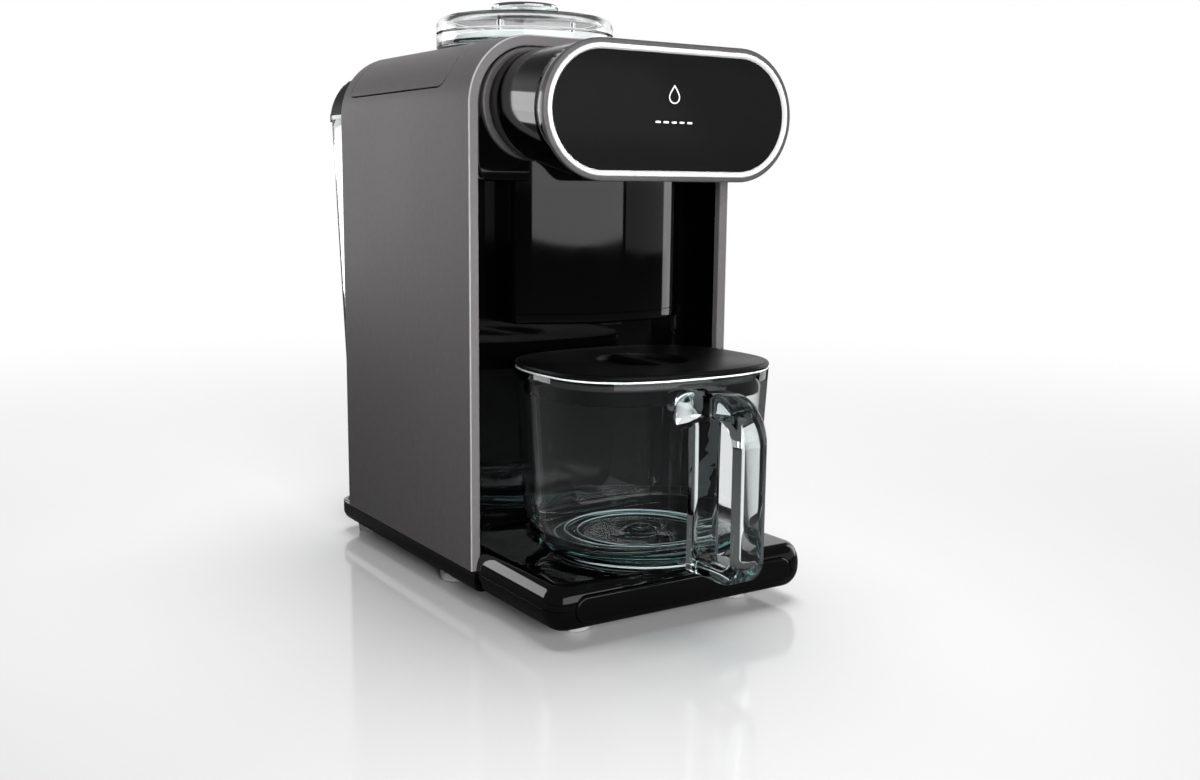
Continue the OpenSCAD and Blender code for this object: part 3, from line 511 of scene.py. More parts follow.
def hood_tool(margin):
    """The space that the hood takes, grown by a margin: a hatch with rounded lower corners."""
    r0, r1 = 8, 5
    side = np.array(
        arc_points(HOOD_FRONT + r0, HOOD_Z0 + r0, r0 + margin, 270, 180, 12)
        + [(HOOD_FRONT - margin, ROOF_Z + 30), (HOOD_BACK + margin, ROOF_Z + 30)]
        + arc_points(HOOD_BACK - r1, HOOD_Z0 + r1, r1 + margin, 0, -90, 14)
    )
    return prism("hood_tool", side, along_x, -SHELL_W2 - 10, HINGE_X if margin else HINGE_X - 0.4)


def hinge_pocket(x0, x1):
    """The pocket that the hinge barrel lies in."""
    y0, y1 = pin_lo.y - 0.5, pin_hi.y + 0.5
    plan = np.array([(x0, y0), (x1, y0), (x1, y1), (x0, y1)])
    return prism("pocket", plan, along_z, ROOF_Z - 30, ROOF_Z + 5)


def knuckles(name, first, body):
    """Every second barrel of the hood's hinge, with its leaf."""
    count, play = 5, 0.2
    y0, y1 = pin_lo.y + 0.5, pin_hi.y - 0.5
    step = (y1 - y0) / count
    side = 4.4 if body == "machine" else -4.4
    leaf = [(0, -2.8), (side, -2.9), (side, -1.4), (0, -0.6)]
    leaf = [(HINGE_X + x, HINGE_Z + z) for x, z in leaf]
    parts = []

    def barrel(inset):
        return circle(HINGE_X, HINGE_Z, 3 - inset, 32)

    for i in range(first, count, 2):
        a, b = y0 + i * step + play, y0 + (i + 1) * step - play
        parts.append(sweep(f"{name}_{i}", barrel, slab_profile(a, b, 0.4, 0.4, 3), along_y, "shell_paint", None))
        parts.append(prism(f"{name}_leaf_{i}", leaf, along_y, a, b))
    dress(join(parts, name), "shell_paint", body)


def join(pieces, name):
    """Merges pieces into one object."""
    target = bmesh.new()
    for piece in pieces:
        target.from_mesh(piece.data)
    mesh = bpy.data.meshes.new(name)
    target.to_mesh(mesh)
    target.free()
    for piece in pieces:
        bpy.data.objects.remove(piece)
    smooth(mesh)
    return new_object(name, mesh)


def shell():
    outer = arch(SHELL_W2, SHELL_Z0, ROOF_Z, SHELL_R)
    nose, lip, back = 0.9, 5, SHELL_BACK
    profile = (
        fillet(nose, SHELL_FRONT + nose, nose, 180, 270, 6)
        + [(RIM_T - 0.6, SHELL_FRONT)]
        + [(RIM_T, SHELL_FRONT + 0.6), (RIM_T, SHELL_FRONT + lip)]
        + [(SHELL_T, SHELL_FRONT + lip + 1), (SHELL_T, back - 0.5)]
        + [(SHELL_T - 0.5, back), (0.6, back), (0.0, back - 0.6)]
    )
    piece = sweep("shell", outer, profile, along_y, "shell_paint", "machine", ["outer_shell"], False, True)
    cut(piece, hood_tool(0.9))
    cut(piece, hinge_pocket(HINGE_X - 4, HINGE_X + 3.4))
    tidy_mesh(piece)
    soften(piece, 0.5, 3, 50)
    knuckles("shell_knuckles", 0, "machine")
    # A pale line runs round the shell's front outer edge as one piece: a painted highlight of that edge.
    r = 0.7
    bead = circle(r, SHELL_FRONT + r, r, 12)
    sweep("shell_front_highlight", outer, bead, along_y, "painted_edge_highlight", "machine", ring=False, loop=True)


def hood():
    outer = arch(SHELL_W2, SHELL_Z0, ROOF_Z, SHELL_R)
    y0, y1 = HOOD_FRONT - 4, HOOD_BACK + 4
    profile = [(0.0, y0), (SHELL_T, y0), (SHELL_T, y1), (0.0, y1)]
    piece = sweep("hood", outer, profile, along_y, "shell_paint", "hood", ["hood_cover"], False, True)
    cut(piece, hood_tool(0.0), "INTERSECT")
    cut(piece, prism("neck_hole", circle(*HOPPER, 49.2, 96), along_z, ROOF_Z - 10, ROOF_Z + 10))
    cut(piece, hinge_pocket(HINGE_X - 3.4, SHELL_W2 + 5))
    tidy_mesh(piece)
    soften(piece, 0.5, 3, 50)
    knuckles("hood_knuckles", 1, "hood")


# ------------------------------------------------------------------ head and column

HEAD_W2 = head_hi.x
BAND_T = 2.6
RING_T = 3
head_outline = stadium(HEAD_W2, head_lo.z, head_hi.z)


def edge_ring(name, profile, look, node):
    """A ring that follows the head's outline."""
    sweep(name, head_outline, profile, along_y, look, "machine", [node], loop=True)


def head():
    fascia_y = box("front_fascia")[0].y
    # Barrel: a stadium that grows towards the front, lofted in steps.
    root = stadium(76, 253, 311)(0)
    tip = stadium(HEAD_W2 - 1.0, head_lo.z + 1.0, head_hi.z - 1.0)(0)
    rings = []
    for t in np.linspace(0, 1, 9):
        ring = root * (1 - t) + tip * t
        rings.append(along_y(ring, fascia_y + t * (head_hi.y - 0.3 - fascia_y)))
    loft("head_barrel", rings, "barrel_gloss", "machine", ["head_housing"])

    collar_lo, collar_hi = box("head_collar")
    collar = stadium(collar_hi.x, collar_lo.z, collar_hi.z)
    w = 4.8
    front = collar_lo.y
    profile = (
        [(0, collar_hi.y + 0.5), (0, front + 0.9)]
        + fillet(0.9, front + 0.9, 0.9, 180, 270, 4)
        + [(w - 1.5, front + 0.2), (w, front + 1.4), (w, collar_hi.y + 0.5)]
    )
    sweep("head_collar_ring", collar, profile, along_y, "trim_grey", "machine", ["head_collar"], loop=True)

    front = head_lo.y
    profile = (
        [(0, front + 2.6), (0, front + 0.7)]
        + fillet(0.7, front + 0.7, 0.7, 180, 270, 4)
        + [(BAND_T - 0.1, front), (BAND_T - 0.1, front + 4)]
        + [(6, front + 4), (6, front + 8), (1.0, front + 8), (1.0, front + 2.9)]
        + [(0.3, front + 2.9)]
    )
    edge_ring("head_band", profile, "trim_grey", "head_bezel")

    # The band's rear part, gloss black like the barrel it runs into.
    profile = [(1.1, front + 3.0), (0.8, front + 3.3), (0.9, head_hi.y - 0.4)]
    profile += [(1.2, head_hi.y), (BAND_T, head_hi.y), (BAND_T, front + 8.2), (1.5, front + 8.2)]
    profile += [(1.5, front + 3.0)]
    edge_ring("head_band_rear", profile, "black_gloss", "head_bezel")

    # The chrome trim ring, painted near-white to stand for its bright reflection.
    front = box("head_trim_ring")[0].y
    profile = (
        [(BAND_T, front + 4), (BAND_T, front + 0.9)]
        + fillet(BAND_T + 0.8, front + 0.8, 0.8, 180, 270, 4)
        + [(BAND_T + 1.9, front + 0.05)]
        + [(BAND_T + RING_T - 0.1, front + 1.0), (BAND_T + RING_T, front + 1.4)]
        + [(BAND_T + RING_T, front + 4)]
    )
    edge_ring("trim_ring", profile, "chrome_painted_white", "head_trim_ring")

    glass_lo, glass_hi = box("control_glass")
    glass = stadium(glass_hi.x - 0.05, glass_lo.z + 0.05, glass_hi.z - 0.05)
    sweep(
        "touch_panel", glass, slab_profile(glass_lo.y, glass_hi.y, 0.5, 0.1, 3), along_y,
        "panel_glass", "machine", ["control_glass"],
    )
    panel_marks(glass_lo.y, (glass_lo.z + glass_hi.z) / 2)


def panel_marks(y, z):
    """Generic printed marks: a droplet over a row of five short dashes."""
    front, back = y - 0.04, y + 0.02
    half, thick, pitch = 1.7, 0.55, 5.2

    def droplet(r, depth):
        points = []
        for t in np.linspace(0, 2 * math.pi, 48, endpoint=False):
            x, h = r * math.sin(t), -r * math.cos(t)
            if h > 0:
                x *= 1 - (h / r) ** 1.5 * 0.75
                h *= 1.75
            points.append((x, z + 8.2 + h))
        return along_y(points, depth)

    rings = [droplet(3.6, front), droplet(3.6, back), droplet(2.9, back), droplet(2.9, front)]
    parts = [loft("droplet", rings, "ink", None, loop=True)]
    for i in range(5):
        cx, cz = (i - 2) * pitch, z - 5
        dash = arc_points(cx + half - thick, cz, thick, -90, 90, 8)
        dash += arc_points(cx - half + thick, cz, thick, 90, 270, 8)
        parts.append(prism(f"dash_{i}", dash, along_y, front, back))
    dress(join(parts, "panel_marks"), "ink", "machine")


def column():
    """A bowed front with rounded upright edges and straight sides to the bay's back wall."""
    half, front, back = column_hi.x, column_lo.y, column_hi.y
    bow, corner = 96, 8
    arc_y = front + bow
    turn = math.asin((half - corner) / (bow - corner))
    corner_y = arc_y - (bow - corner) * math.cos(turn)

    def plan(inset):
        r, rb = corner - inset, bow - inset
        a = math.degrees(turn)
        right = arc_points(half - corner, corner_y, r, a - 90, 0, 16)[1:]
        left = [(-x, y) for x, y in right[::-1]]
        front_arc = arc_points(0, arc_y, rb, -90 - a, a - 90, 96)
        return np.array(front_arc + right + [(half - inset, back), (inset - half, back)] + left)

    bottom, top = column_lo.z, 252
    profile = fillet(1.6, bottom + 1.6, 1.6, 270, 180, 6)
    seam = bottom + 5.5
    profile += [(0, seam), (0.4, seam + 0.2), (0.4, seam + 0.45), (0, seam + 0.65), (0, top)]
    piece = sweep("column", plan, profile, along_z, "black_gloss", "machine", ["column_cover"])
    nozzle_lo, nozzle_hi = box("dispensing_nozzle")
    hole = circle(0, (nozzle_lo.y + nozzle_hi.y) / 2, 12, 64)
    cut(piece, prism("nozzle_hole", hole, along_z, bottom - 5, bottom + 6))
    tidy_mesh(piece)


# ------------------------------------------------------------------ bay, base and drawer


def bay():
    lo, hi = box("cavity_liner")
    fascia_lo, fascia_hi = box("front_fascia")
    wall = 2.9
    inner_w, back, corner = hi.x - wall, hi.y - 3, 7

    def path(inset):
        w, y, r = inner_w + inset, back + inset, corner + inset
        return np.array(
            [(-w, lo.y)]
            + arc_points(-w + r, y - r, r, 180, 90, 10)
            + arc_points(w - r, y - r, r, 90, 0, 10)
            + [(w, lo.y)]
        )

    profile = [(0, lo.z), (0, fascia_lo.z), (2.8, fascia_lo.z), (2.8, lo.z)]
    sweep("bay_liner", path, profile, along_z, "black_gloss", "machine", ["cavity_liner"], False, True)
    ceiling = round_rect(-inner_w - 1, inner_w + 1, fascia_lo.y + 1, back + 1, 4)
    sweep(
        "bay_ceiling", ceiling, slab_profile(fascia_lo.z, fascia_lo.z + 2.4, 0.8, 0.2, 3), along_z,
        "black_gloss", "machine",
    )
    # Fascia behind the head's collar, rounded like the shell it sits in.
    half, top, r = SHELL_W2 - RIM_T - 0.1, ROOF_Z - RIM_T - 0.1, SHELL_R - RIM_T

    def face(inset):
        rr = r - inset
        w, t, b = half - inset, top - inset, fascia_lo.z + inset
        foot = 9
        return np.array(
            arc_points(w - foot, b + foot, foot, -90, 0, 8)
            + arc_points(w - rr, t - rr, rr, 0, 90, 20)
            + arc_points(rr - w, t - rr, rr, 90, 180, 20)
            + arc_points(foot - w, b + foot, foot, 180, 270, 8)
        )

    sweep(
        "fascia", face, slab_profile(fascia_lo.y, fascia_hi.y, 1.2, 0.2, 4), along_y,
        "black_gloss", "machine", ["front_fascia"],
    )


def base():
    w2, front, z0, deck = base_hi.x, base_lo.y, base_lo.z, base_hi.z
    plan = round_rect(-w2, w2, front, base_hi.y, 13)
    seam = 20.8
    groove = 0.35
    turns = np.radians(np.linspace(0, 90, 14))
    profile = [(10 * (1 - math.sin(t)), seam - 0.3 - (seam - 0.3 - z0) * math.cos(t)) for t in turns]
    profile += [(groove, seam - 0.1), (groove, seam + 0.1)]
    profile += [(8 * (1 - math.cos(t)), seam + 0.3 + (deck - seam - 0.3) * math.sin(t)) for t in turns]
    piece = sweep("base", plan, profile, along_z, "black_gloss", "machine", ["tray_base"], sharp=60)
    drawer_lo, drawer_hi = box("drawer_front")
    slot = stadium(drawer_hi.x + 0.4, drawer_lo.z - 0.4, drawer_hi.z + 0.4)(0)
    cut(piece, prism("drawer_mouth", slot, along_y, front - 4, front + 4))
    tray_lo, tray_hi = box("drip_drawer")
    tunnel = [(-68, 13), (68, 13), (68, 28.4), (-68, 28.4)]
    cut(piece, prism("drawer_tunnel", tunnel, along_y, front + 3, tray_hi.y + 4))
    # Below the shell's floor the base stops in front of the base pan.
    under = [(-w2 - 5, z0 - 5), (w2 + 5, z0 - 5), (w2 + 5, pan_hi.z), (-w2 - 5, pan_hi.z)]
    cut(piece, prism("pan_room", under, along_y, pan_lo.y, base_hi.y + 5))
    tidy_mesh(piece, 50)
    soften(piece, 0.5, 3, 55)

    plate_lo, plate_hi = box("warming_plate")
    plate = round_rect(plate_lo.x, plate_hi.x, plate_lo.y, plate_hi.y, 36, 20)
    sweep(
        "warming_deck", plate, slab_profile(plate_lo.z, plate_hi.z + 0.15, 0.2, 0.6, 4), along_z,
        "black_gloss", "machine", ["warming_plate"],
    )

    pill = stadium(drawer_hi.x, drawer_lo.z, drawer_hi.z)
    sweep(
        "drawer_face", pill, slab_profile(drawer_lo.y, drawer_hi.y, 1.6, 0.3, 6), along_y,
        "black_gloss", "drawer", ["drawer_front"],
    )
    tray = round_rect(tray_lo.x, tray_hi.x, tray_lo.y, tray_hi.y, 3, 6)
    wall = 2
    profile = (
        fillet(1.5, tray_lo.z + 1.5, 1.5, 270, 180, 4)
        + [(0, tray_hi.z - 0.4), (0.4, tray_hi.z), (wall - 0.4, tray_hi.z), (wall, tray_hi.z - 0.4)]
        + fillet(wall + 1.5, tray_lo.z + wall + 1.5, 1.5, 180, 270, 4)
    )
    sweep("drawer_tray", tray, profile, along_z, "black_matte", "drawer", ["drip_drawer"])


def pan():
    lo, hi = pan_lo, pan_hi
    corner = 14

    def plan(inset):
        r = corner - inset if corner > inset + 1 else 1
        w, back, front = hi.x - inset, hi.y - inset, lo.y + min(inset, 3)
        return np.array(
            [(-w, front), (w, front)]
            + arc_points(w - r, back - r, r, 0, 90, 10)
            + arc_points(r - w, back - r, r, 90, 180, 10)
        )

    wall = 3
    profile = (
        fillet(7, lo.z + 7, 7, 270, 180, 8)
        + [(0, hi.z - 0.5), (0.5, hi.z), (wall - 0.4, hi.z), (wall, hi.z - 0.4)]
        + [(wall, lo.z + wall + 4), (wall + 4.5, lo.z + wall)]
    )
    piece = sweep("underbody", plan, profile, along_z, "black_gloss", "machine", ["base_pan"])
    gland_lo, gland_hi = box("cord_gland")
    gx, gz = (gland_lo.x + gland_hi.x) / 2, (gland_lo.z + gland_hi.z) / 2
    cut(piece, prism("gland_hole", circle(gx, gz, 5.2, 40), along_y, hi.y - 5, hi.y + 5))
    tidy_mesh(piece, 50)


def feet():
    lo, hi = box("rubber_feet")
    r = 9
    profile = (
        [(AXIS, lo.z), (r - 1.6, lo.z)]
        + arc_points(r - 1.6, lo.z + 1.2, 1.2, -90, 0, 5)
        + [(r - 0.4, lo.z + 3.0), (r, lo.z + 3.6), (r, lo.z + 6.0)]
        + [(r - 1.0, lo.z + 6.8), (r - 1.0, hi.z + 0.6), (AXIS, hi.z + 0.6)]
    )
    for i, (x, y) in enumerate(((55, -103), (71, 10), (69, 141))):
        for side, s in (("left", -1), ("right", 1)):
            centre = (s * x, y)
            lathe(f"foot_{i}_{side}", profile, centre, "rubber_grey", "machine", ["rubber_feet"], steps=48)


# ------------------------------------------------------------------ tank

LID_HINGE_Y, LID_HINGE_Z = 136.8, 310.5


def tank():
    wall = 2.5
    ears_z = 283
    front, rim_back, foot_back = tank_lo.y, tank_hi.y, 147
    z0 = tank_lo.z

    def ring(z, inset):
        t = min(max((z - z0) / (ears_z - z0), 0), 1)
        back = foot_back + (rim_back - foot_back) * t
        r = 4 + 10 * t
        return along_z(round_rect(tank_lo.x, tank_hi.x, front, back, r)(inset), z)

    levels = np.linspace(0, 1, 14)
    outer = [ring(z0, 2.0), ring(z0 + 0.6, 0.6), ring(z0 + 2, 0)]
    outer += [ring(z0 + 2 + (ears_z - z0 - 3) * t, 0) for t in levels[1:]]
    rim = [ring(ears_z, 0.8), ring(ears_z, wall - 0.6)]
    inner = [ring(z0 + 5 + (ears_z - 0.8 - z0 - 5) * t, wall) for t in levels[::-1]]
    inner += [ring(z0 + 3.2, wall + 0.8), ring(z0 + 2.6, wall + 2.2)]
    loft("tank_vessel", outer + rim + inner, "clear_plastic", "tank", ["water_tank"], sharp=50)
    band = [ring(ears_z + z, inset) for z, inset in ((-3.4, 0.3), (-3.2, -0.3), (-0.5, -0.3), (-0.3, 0.3))]
    loft("tank_rim_band", band, "painted_glint_and_tank_band", "tank", sharp=50, loop=True)
    ear = [(front + 0.4, ears_z - 0.2), (LID_HINGE_Y + 2.0, ears_z - 0.2)]
    ear += arc_points(LID_HINGE_Y, LID_HINGE_Z, 2.4, 0, 180, 14)
    for side, x in (("left", -33), ("right", 33)):
        piece = prism(f"tank_ear_{side}", ear, along_x, x - 2.5, x + 2.5)
        soften(piece, 0.4, 2, 40)
        dress(piece, "clear_plastic", "tank")


def tank_cover():
    top, back, w2, r = lid_hi.z, lid_hi.y, lid_hi.x, 35
    rim_z, low, corner, wall = lid_lo.z, 286, 13, 2.4

    def level(t, inset):
        """The y and roof height of one slice along the quarter curve, t in degrees."""
        c, s = math.cos(math.radians(t)), math.sin(math.radians(t))
        return LID_HINGE_Y + (back - LID_HINGE_Y - inset) * c**0.9, low + (top - low - inset) * s**0.9

    def section(y, z_top, inset):
        """An arch slice in XZ, no higher than z_top and narrower towards the rounded back corners."""
        over, bend = max(y - (back - corner), 0), corner - inset
        w = w2 - inset - bend + math.sqrt(max(bend**2 - over**2, 0))
        rr, full = r - inset, top - inset
        arcs = arc_points(rr - w, full - rr, rr, 180, 90, 14) + arc_points(w - rr, full - rr, rr, 90, 0, 14)
        return [(x, y, z) for x, z in [(-w, rim_z)] + [(x, min(z, z_top)) for x, z in arcs] + [(w, rim_z)]]

    turns = np.linspace(90, 4, 18)
    outer = [section(LID_HINGE_Y - 2.9, top - 1.1, 0), section(LID_HINGE_Y - 1.6, top - 0.2, 0)]
    outer += [section(*level(t, 0), 0) for t in turns] + [section(back, rim_z + 1.5, 0)]
    inner = [section(back - wall, rim_z + 1.5, wall)]
    inner += [section(*level(t, wall), wall) for t in turns[::-1]]
    inner += [section(LID_HINGE_Y - 2.9, top - wall, wall)]
    rings = outer + inner
    size, count = len(rings[0]), len(outer)
    faces = rings_to_faces(len(rings), size, close_ring=False, close_path=True)[: len(rings) * (size - 1)]
    # Side rims between the outer and inner skins.
    for end in (0, size - 1):
        for i in range(count - 1):
            a, b = i * size + end, (i + 1) * size + end
            c, d = (2 * count - 2 - i) * size + end, (2 * count - 1 - i) * size + end
            faces.append((a, b, c, d) if end else (a, d, c, b))
    add_mesh("tank_cover", [v for s in rings for v in s], faces, "lid_black", "tank_cap", ["tank_lid"], 45)


# ------------------------------------------------------------------ hopper


KNOB_DROP = 2.6


def hopper():
    z0 = ROOF_Z + 1.2
    r, t = HOPPER_R, 3
    neck = 48.8
    low = jar_lo.z
    top = jar_hi.z
    profile = (
        [(neck - 2.8, low + 0.6), (neck - 2.2, low), (neck - 0.6, low), (neck, low + 0.6), (neck, z0 - 0.4)]
        + [(neck + 0.4, z0), (r - 1.2, z0)]
        + arc_points(r - 1.2, z0 + 1.2, 1.2, -90, 0, 4)
        + [(r, top - 0.5), (r - 0.5, top), (r - t + 0.5, top), (r - t, top - 0.5)]
        + [(r - t, z0 + 3.4), (r - t - 1.2, z0 + 2.2), (neck - 2.0, z0 + 2.0), (neck - 2.8, z0 + 1.2)]
    )
    lathe("hopper_body", profile, HOPPER, "clear_plastic", "hood", ["hopper_jar"])

    base_z, crown = dome_lo.z, dome_hi.z - KNOB_DROP
    shoulder = 6

    def dome(radius, z_side, z_crown, rs):
        edge = radius - rs
        side = arc_points(edge, z_side, rs, 0, 70, 10)
        x0, h0 = side[-1]
        crown_curve = []
        for i in range(1, 13):
            q = x0 * (1 - i / 12)
            crown_curve.append((max(q, AXIS), z_crown - (z_crown - h0) * (q / x0) ** 2))
        return side + crown_curve

    outer = dome(r, base_z + 4.2, crown, shoulder)
    inner = dome(r - t, base_z + 3.4, crown - t, shoulder - 1.2)
    profile = [(r - t + 0.4, base_z), (r - 0.4, base_z), (r, base_z + 0.4)]
    profile += outer + inner[::-1] + [(r - t, base_z + 0.4)]
    lathe("hopper_dome", profile, HOPPER, "clear_plastic", "lid", ["hopper_lid"])

    kz, kr = knob_lo.z - KNOB_DROP, (knob_hi.x - knob_lo.x) / 2 - 3
    top = knob_hi.z - KNOB_DROP
    profile = (
        [(AXIS, kz), (7, kz), (7, kz + 0.4), (6, kz + 1.4), (7.5, kz + 2.4)]
        + [(kr - 5, kz + 4.0)]
        + arc_points(kr - 1.4, top - 2.0, 1.4, -80, 80, 8)
        + [(kr - 3.5, top - 0.35), (kr * 0.5, top - 0.9), (kr * 0.2, top - 1.1), (AXIS, top - 1.15)]
    )
    lathe("lid_knob", profile, HOPPER, "chrome", "lid", ["hopper_knob"])

    plug_lo, plug_hi = box("lid_plug")
    pr = (plug_hi.x - plug_lo.x) / 2
    profile = (
        [(AXIS, plug_hi.z - 6), (pr - 4, plug_hi.z - 6), (pr - 3, plug_lo.z + 0.6), (pr - 2.4, plug_lo.z)]
        + [(pr - 0.6, plug_lo.z), (pr, plug_lo.z + 0.6), (pr, plug_hi.z - 5)]
        + [(pr - 0.8, plug_hi.z - 4.4), (pr - 0.8, plug_hi.z - 3.8), (pr, plug_hi.z - 3.2)]
        + [(pr, plug_hi.z - 1)]
        + [(pr - 1, plug_hi.z), (AXIS, plug_hi.z)]
    )
    lathe("lid_inner_plug", profile, HOPPER, "frosted_white", "lid", ["lid_plug"])
    post_lo, post_hi = box("lid_posts")
    for i, angle in enumerate((90, 210, 330)):
        a = math.radians(angle)
        centre = (HOPPER[0] + 30 * math.cos(a), HOPPER[1] + 30 * math.sin(a))
        profile = [
            (AXIS, post_lo.z), (2.6, post_lo.z), (2.6, post_lo.z + 0.8), (1.8, post_lo.z + 1.6),
            (1.8, post_hi.z), (AXIS, post_hi.z),
        ]
        lathe(f"lid_post_{i}", profile, centre, "chrome", "lid", ["lid_posts"], steps=32)


# ------------------------------------------------------------------ carafe

GLASS_T = 3.2
MOUTH_A, MOUTH_B, MOUTH_P = cap_hi.x, (cap_hi.y - cap_lo.y) / 2, 2.85
RIM_Z = box("carafe_lid")[1].z - 3
HANDLE_FRONT = jug_lo.y


def jug_ring(a, b, power, z):
    return [(x, JUG[1] + y, z) for x, y in oval(a, b, power)]


def jug_size(z):
    """Half width, half depth and squareness of the jug's outer wall at a height."""
    low, high = 46, RIM_Z
    t = max(0.0, min(1.0, (z - low) / (high - low)))
    ease = t**0.8
    return (MOUTH_A - 4.2 * (1 - ease), MOUTH_B - 3.0 * (1 - ease), 2.55 + (MOUTH_P - 2.55) * t)


def jug():
    z_foot = jug_lo.z
    heel = 46
    a0, b0, p0 = jug_size(heel)
    rings = [jug_ring(44, 44, 2, z_foot + 0.2), jug_ring(47, 47, 2, z_foot)]
    rings += [jug_ring(49.5, 49.0, 2, z_foot + 0.8), jug_ring(50.2, 49.6, 2, z_foot + 2.0)]
    rings += [jug_ring(50.6, 49.8, 2, z_foot + 3.2)]
    for t in np.linspace(0, 1, 9):
        s, c = math.sin(t * math.pi / 2), 1 - math.cos(t * math.pi / 2)
        a = 54.5 + (a0 - 54.5) * s
        b = 51.0 + (b0 - 51.0) * s
        z = z_foot + 4.0 + (heel - z_foot - 4.0) * c
        rings.append(jug_ring(a, b, 2.1 + (p0 - 2.1) * s, z))
    for t in np.linspace(0, 1, 14)[1:]:
        z = heel + (RIM_Z - 1.2 - heel) * t
        rings.append(jug_ring(*jug_size(z), z))
    a, b, p = jug_size(RIM_Z)
    rings.append(jug_ring(a - 0.4, b - 0.4, p, RIM_Z - 0.4))
    rings.append(jug_ring(a - 1.2, b - 1.2, p, RIM_Z))
    solid = loft("jug", rings + [jug_ring(a - 30, b - 25, 2.2, RIM_Z)], "clear_glass", None, sharp=50)

    cut(solid, handle(), "UNION")

    floor = 43
    inner = [jug_ring(a - 2.0, b - 2.0, p, RIM_Z + 2), jug_ring(a - 2.0, b - 2.0, p, RIM_Z)]
    inner.append(jug_ring(a - 2.8, b - 2.8, p, RIM_Z - 0.5))
    for t in np.linspace(0, 1, 14):
        z = RIM_Z - 1.5 + (floor + 8 - RIM_Z + 1.5) * t
        aa, bb, pp = jug_size(z)
        inner.append(jug_ring(aa - GLASS_T, bb - GLASS_T, pp, z))
    aa, bb, pp = jug_size(floor + 8)
    for t in np.linspace(0, 1, 8)[1:]:
        s, c = math.sin(t * math.pi / 2), math.cos(t * math.pi / 2)
        inner.append(
            jug_ring(
                46 + (aa - GLASS_T - 46) * c, 43 + (bb - GLASS_T - 43) * c,
                2.0 + (pp - 2.0) * c, floor + 8 * (1 - s),
            )
        )
    # The floor of the jug carries a raised ring and a small centre boss.
    relief = [(42, 0.0), (41, 0.8), (39.5, 1.0), (38, 0.2), (30, 0.0)]
    relief += [(12, 0.0), (9, 0.8), (6, 3.2), (3, 4.2), (0.6, 4.4)]
    for radius, lift in relief:
        inner.append(jug_ring(radius, radius * 0.985, 2.0, floor + lift))
    hollow = loft("jug_hollow", inner, "clear_glass", None, sharp=50)
    cut(solid, hollow)
    dish = ((1.06, -1), (1.0, 0.4), (0.96, 1.6), (0.5, 2.0))
    dish = [along_z(circle(0, JUG[1], 40 * f, 96), z_foot + up) for f, up in dish]
    cut(solid, loft("jug_dish", dish, "clear_glass", None))
    solid.name = "jug_vessel"
    tidy_mesh(solid, 35)
    dress(solid, "clear_glass", "carafe", ["carafe_jug"])


def jug_edge():
    """A pale ring along the jug's mouth: a painted highlight of the glass rim."""
    a, b, p = jug_size(RIM_Z)
    rings = [jug_ring(a - 0.5 + x, b - 0.5 + x, p, RIM_Z - 0.75 + z) for x, z in circle(0, 0, 0.55, 12)]
    loft("jug_mouth_highlight", rings, "painted_rim_highlight", "carafe", loop=True)
    # Pale lines on the jug's moulded floor and foot rings: painted glints of the glass.
    for name, radius, z, w in (
        ("jug_floor_glint", 43.4, 43.9, 0.5),
        ("jug_inner_glint", 36.0, 43.4, 0.35),
        ("jug_foot_glint", 50.0, 35.4, 0.6),
    ):
        profile = arc_points(radius, z, w, 0, 360, 10)
        lathe(name, profile, JUG, "painted_glint_and_tank_band", "carafe", steps=128)


def handle():
    """The moulded loop: a bar of rounded rectangular section between two matching outlines."""
    half_w = 9
    back = JUG[1] - MOUTH_B + 2.2
    front, low, top = HANDLE_FRONT, 34.6, 133
    steps = 9
    outer = arc_points(front + 15, low + 15, 15, 270, 180, steps)
    inner = arc_points(front + 14.5, low + 15.5, 6, 270, 180, steps)
    outer += arc_points(front + 24, top - 24, 24, 180, 90, steps + 5)
    inner += arc_points(front + 22.5, top - 27.0, 14, 180, 90, steps + 5)
    span = 8
    root_y = back - 7.5
    tops = np.linspace(0, 1, span + 1)[1:]
    outer += [(front + 24 + (back - front - 24) * t, top) for t in tops]
    inner += [(front + 22.5 + (root_y - front - 22.5) * t, top - 13) for t in tops]
    falls = np.linspace(0, 1, 12)[1:]
    outer += [(back, top + (low - top) * t) for t in falls]
    inner += [(root_y, top - 13 + (low + 9.5 - top + 13) * t) for t in falls]
    runs = np.linspace(0, 1, span)[1:-1]
    outer += [(back + (front + 15 - back) * t, low) for t in runs]
    inner += [(root_y + (front + 14.5 - root_y) * t, low + 9.5) for t in runs]
    outer, inner = np.array(outer), np.array(inner)
    chamfer = 2.6
    rings = []
    for p, q in zip(outer, inner):
        thick = float(np.linalg.norm(q - p))
        u = (q - p) / thick
        c = min(chamfer, thick * 0.36)
        section = []
        x = half_w - c
        for cx, cd, start in ((x, thick - c, 0), (-x, thick - c, 90), (-x, c, 180), (x, c, 270)):
            section += arc_points(cx, cd, c, start, start + 90, 4)
        rings.append([(x, p[0] + u[0] * d, p[1] + u[1] * d) for x, d in section])
    loop = loft("handle_loop", rings, "clear_glass", None, sharp=50, loop=True)
    # Flared root at the top of the handle.
    flare = []
    for y, w, z0, z1, r in (
        (0.6, 19, 112, 134.2, 7),
        (-2.5, 18, 113, 134, 7),
        (-5.5, 14.5, 115, 133.7, 6),
        (-9, 10.5, 117.5, 133.2, 4.5),
        (-13, 8.6, 121.5, 132.6, 3),
    ):
        flare.append(along_y(round_rect(-w, w, z0, z1, r, 6)(0), back + y))
    root = loft("handle_root", flare, "clear_glass", None, sharp=50)
    cut(loop, root, "UNION")
    return loop


